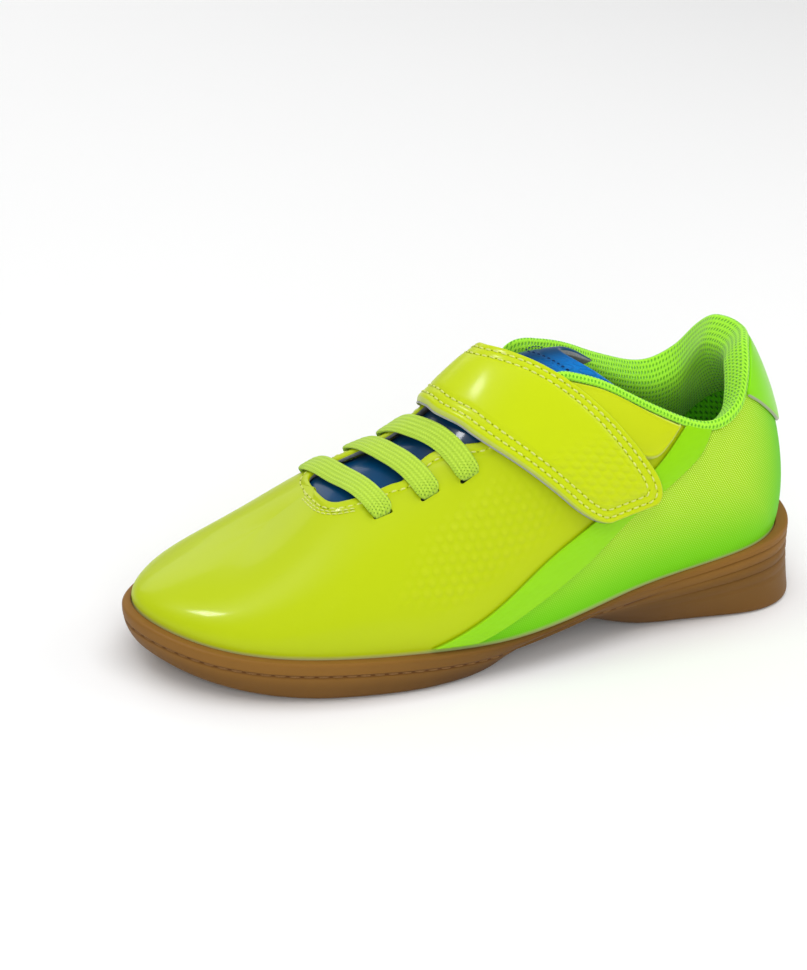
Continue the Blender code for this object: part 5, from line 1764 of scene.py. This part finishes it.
def straight_bar(outer_u, outer_g, inner_u, inner_g, way):
    """Stations and distances of a bar that runs straight, seen from above, between two slots."""
    g = -outer_g + (inner_g + outer_g) * way
    start = across_form(outer_u, -outer_g)
    line = across_form(inner_u, inner_g) - start
    low, high = np.full(way.shape, outer_u - 1.0), np.full(way.shape, inner_u + 1.0)
    for _ in range(HALVINGS):
        middle = (low + high) / 2
        spot = across_form(middle, g) - start
        ahead = spot[..., 0] * line[1] - spot[..., 1] * line[0] > 0
        low, high = np.where(ahead, middle, low), np.where(ahead, high, middle)
    return (low + high) / 2, g


def build_lace(name, outer_u, outer_g, inner_u, inner_g):
    way = ends_fine(131)
    u, g = straight_bar(outer_u, outer_g, inner_u, inner_g, way)
    u = u + LACE_BOW * np.sin(way * math.pi)
    sunk = smooth(way, *LACE_SAG) * smooth(1.0 - way, *LACE_SAG)
    middle = across_form(u, g, LACE_SINK * sunk - GAP)
    along = across_form(u - STATION_STEP, g) - across_form(u + STATION_STEP, g)
    path = unit(np.gradient(middle, axis=0))
    wide = unit(along - path * np.sum(along * path, -1, keepdims=True))
    out = np.cross(path, wide)
    out = out * np.sign(out[:, 2:3])
    length = run_length(middle, 0)
    to_end = np.minimum(length, length[-1] - length)
    narrow = 0.40 + 0.60 * quarter_round(to_end / LACE_TAPER)
    dive = edge_fall(to_end, *LACE_DIVE)
    turn = np.linspace(0.0, math.tau, LACE_AROUND + 1)[:-1]
    across = np.sign(np.cos(turn)) * np.abs(np.cos(turn)) ** LACE_SIDE_POWER
    thick = np.sign(np.sin(turn)) * np.abs(np.sin(turn)) ** LACE_TOP_POWER
    ribs = LACE_RIB_HEIGHT * np.abs(np.cos(across * math.pi * LACE_RIBS / 2))
    thick = np.where(thick > 0, thick * (1.0 - ribs), thick)
    sideways = across[:, None] * narrow * LACE_WIDTH / 2
    level = LACE_LIFT + LACE_THICKNESS / 2 + thick[:, None] * LACE_THICKNESS / 2 - dive
    grid = middle + wide * sideways[..., None] + out * level[..., None]
    end = 1.0 - smooth(to_end, 2.0, 6.0) + 0.0 * sideways
    place = surface_place(length, sideways / MM)
    marks = {"place": place.reshape(-1, 3), "end": end.reshape(-1)}
    piece = make_piece("lace_bar_" + name, grid.reshape(-1, 3), tube_faces(*grid.shape[:2]), marks,
                       [LACE_KNIT], None, LACE_ANGLE)
    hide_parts("lace_" + name)


for row in LACES:
    build_lace(*row)

# %% [markdown]
# ## Seams of the upper and the sole
# The throat's rim is topstitched all round, with two more short rows at the front of its
# outer side. The sole's side is sewn through its furrow with tan thread, and the tongue
# has one dotted seam across its top. Each seam is a line over the form, so it could be
# drawn as a curve with a bevel, but single stitches need the bars of the cell above.

# %% Lines round the throat
SEAM_START, FRONT_ROWS_FROM, FRONT_ROWS_ROOM, FRONT_ROWS_AT = 6.1, 8.05, 0.012, (3.9, 4.8)


def throat_outline():
    """Stations and signed distances round the throat: outer side, front, inner side."""
    root = np.linspace(math.sqrt(FRONT_STATION - FRONT_START), 0.0, 50)
    side = np.linspace(SEAM_START, FRONT_START, 60)[:-1]
    u = np.concatenate([side, FRONT_STATION - root**2])
    outer, inner = (throat_distance(u, np.full(u.shape, side)) for side in (True, False))
    return np.concatenate([u, u[-2::-1]]), np.concatenate([-outer, inner[-2::-1]])


def moved_out(u, g, away):
    """A line over the form moved sideways, away from the throat, by a distance in mm."""
    place = across_form(u, g)
    by_u = (across_form(u + U_STEP, g) - across_form(u - U_STEP, g)) / (2 * U_STEP)
    by_g = (across_form(u, g + G_STEP / 2) - across_form(u, g - G_STEP / 2)) / G_STEP
    normal = np.cross(by_u, by_g)
    normal = normal * np.sign(normal[:, 2:3])
    out = unit(np.cross(normal, np.gradient(place, axis=0))) * away * MM
    uu, ug, gg = (np.sum(a * b, -1) for a, b in ((by_u, by_u), (by_u, by_g), (by_g, by_g)))
    u_part, g_part = np.sum(out * by_u, -1), np.sum(out * by_g, -1)
    size = uu * gg - ug * ug
    return u + (u_part * gg - g_part * ug) / size, g + (g_part * uu - u_part * ug) / size

# %% Throat, sole and tongue seams
SOLE_SEWN, THREAD_IN_FURROW = (4.2, 19.8), 0.00040
TONGUE_SEAM_REACH, THREAD_IN_TONGUE = 0.86, 0.00025


def throat_seam():
    u, g = throat_outline()
    line = form_line(*moved_out(u, g, SEAM_AT))
    sew("throat_stitches", [line], THROAT_STITCH, PALE_THREAD, "lime_synthetic")


def front_rows():
    u, g = throat_outline()
    front = (u > FRONT_ROWS_FROM) & (g < -FRONT_ROWS_ROOM)
    rows = [form_line(*moved_out(u[front], g[front], away)) for away in FRONT_ROWS_AT]
    sew("throat_zigzag", rows, FRONT_STITCH, PALE_THREAD, "lime_synthetic", False)


def sole_seam():
    t = np.linspace(*SOLE_SEWN, 500)
    edge = ring_value(FEATHER_SPLINE, t)
    rim, ledge, tread = edge[:, 2], edge[:, 6], edge[:, 7]
    share = THREAD_DEPTH * MM / (rim - underside(feather(t)[:, 0]))
    offset = ledge + (tread - ledge) * share**SOLE_TUCK_EXPONENT - THREAD_IN_FURROW
    place = feather(t, -(offset - arch_hollow(t, share)))
    place[:, 2] = rim - THREAD_DEPTH * MM
    line = np.concatenate([place, unit(feather(t, -MM) - feather(t))], -1)
    sew("sole_thread", [line], SOLE_STITCH, TAN_THREAD, "gum_rubber", False)


def tongue_seam():
    side = np.linspace(-TONGUE_SEAM_REACH, TONGUE_SEAM_REACH, 60)
    place = tongue_place(TONGUE_SEAM, side, THREAD_IN_TONGUE)
    line = np.concatenate([place, place - tongue_place(TONGUE_SEAM, side, 2 * MM)], -1)
    sew("tongue_stitches", [line], TONGUE_STITCH, NAVY_THREAD, "navy_film", False)


throat_seam()
front_rows()
sole_seam()
tongue_seam()
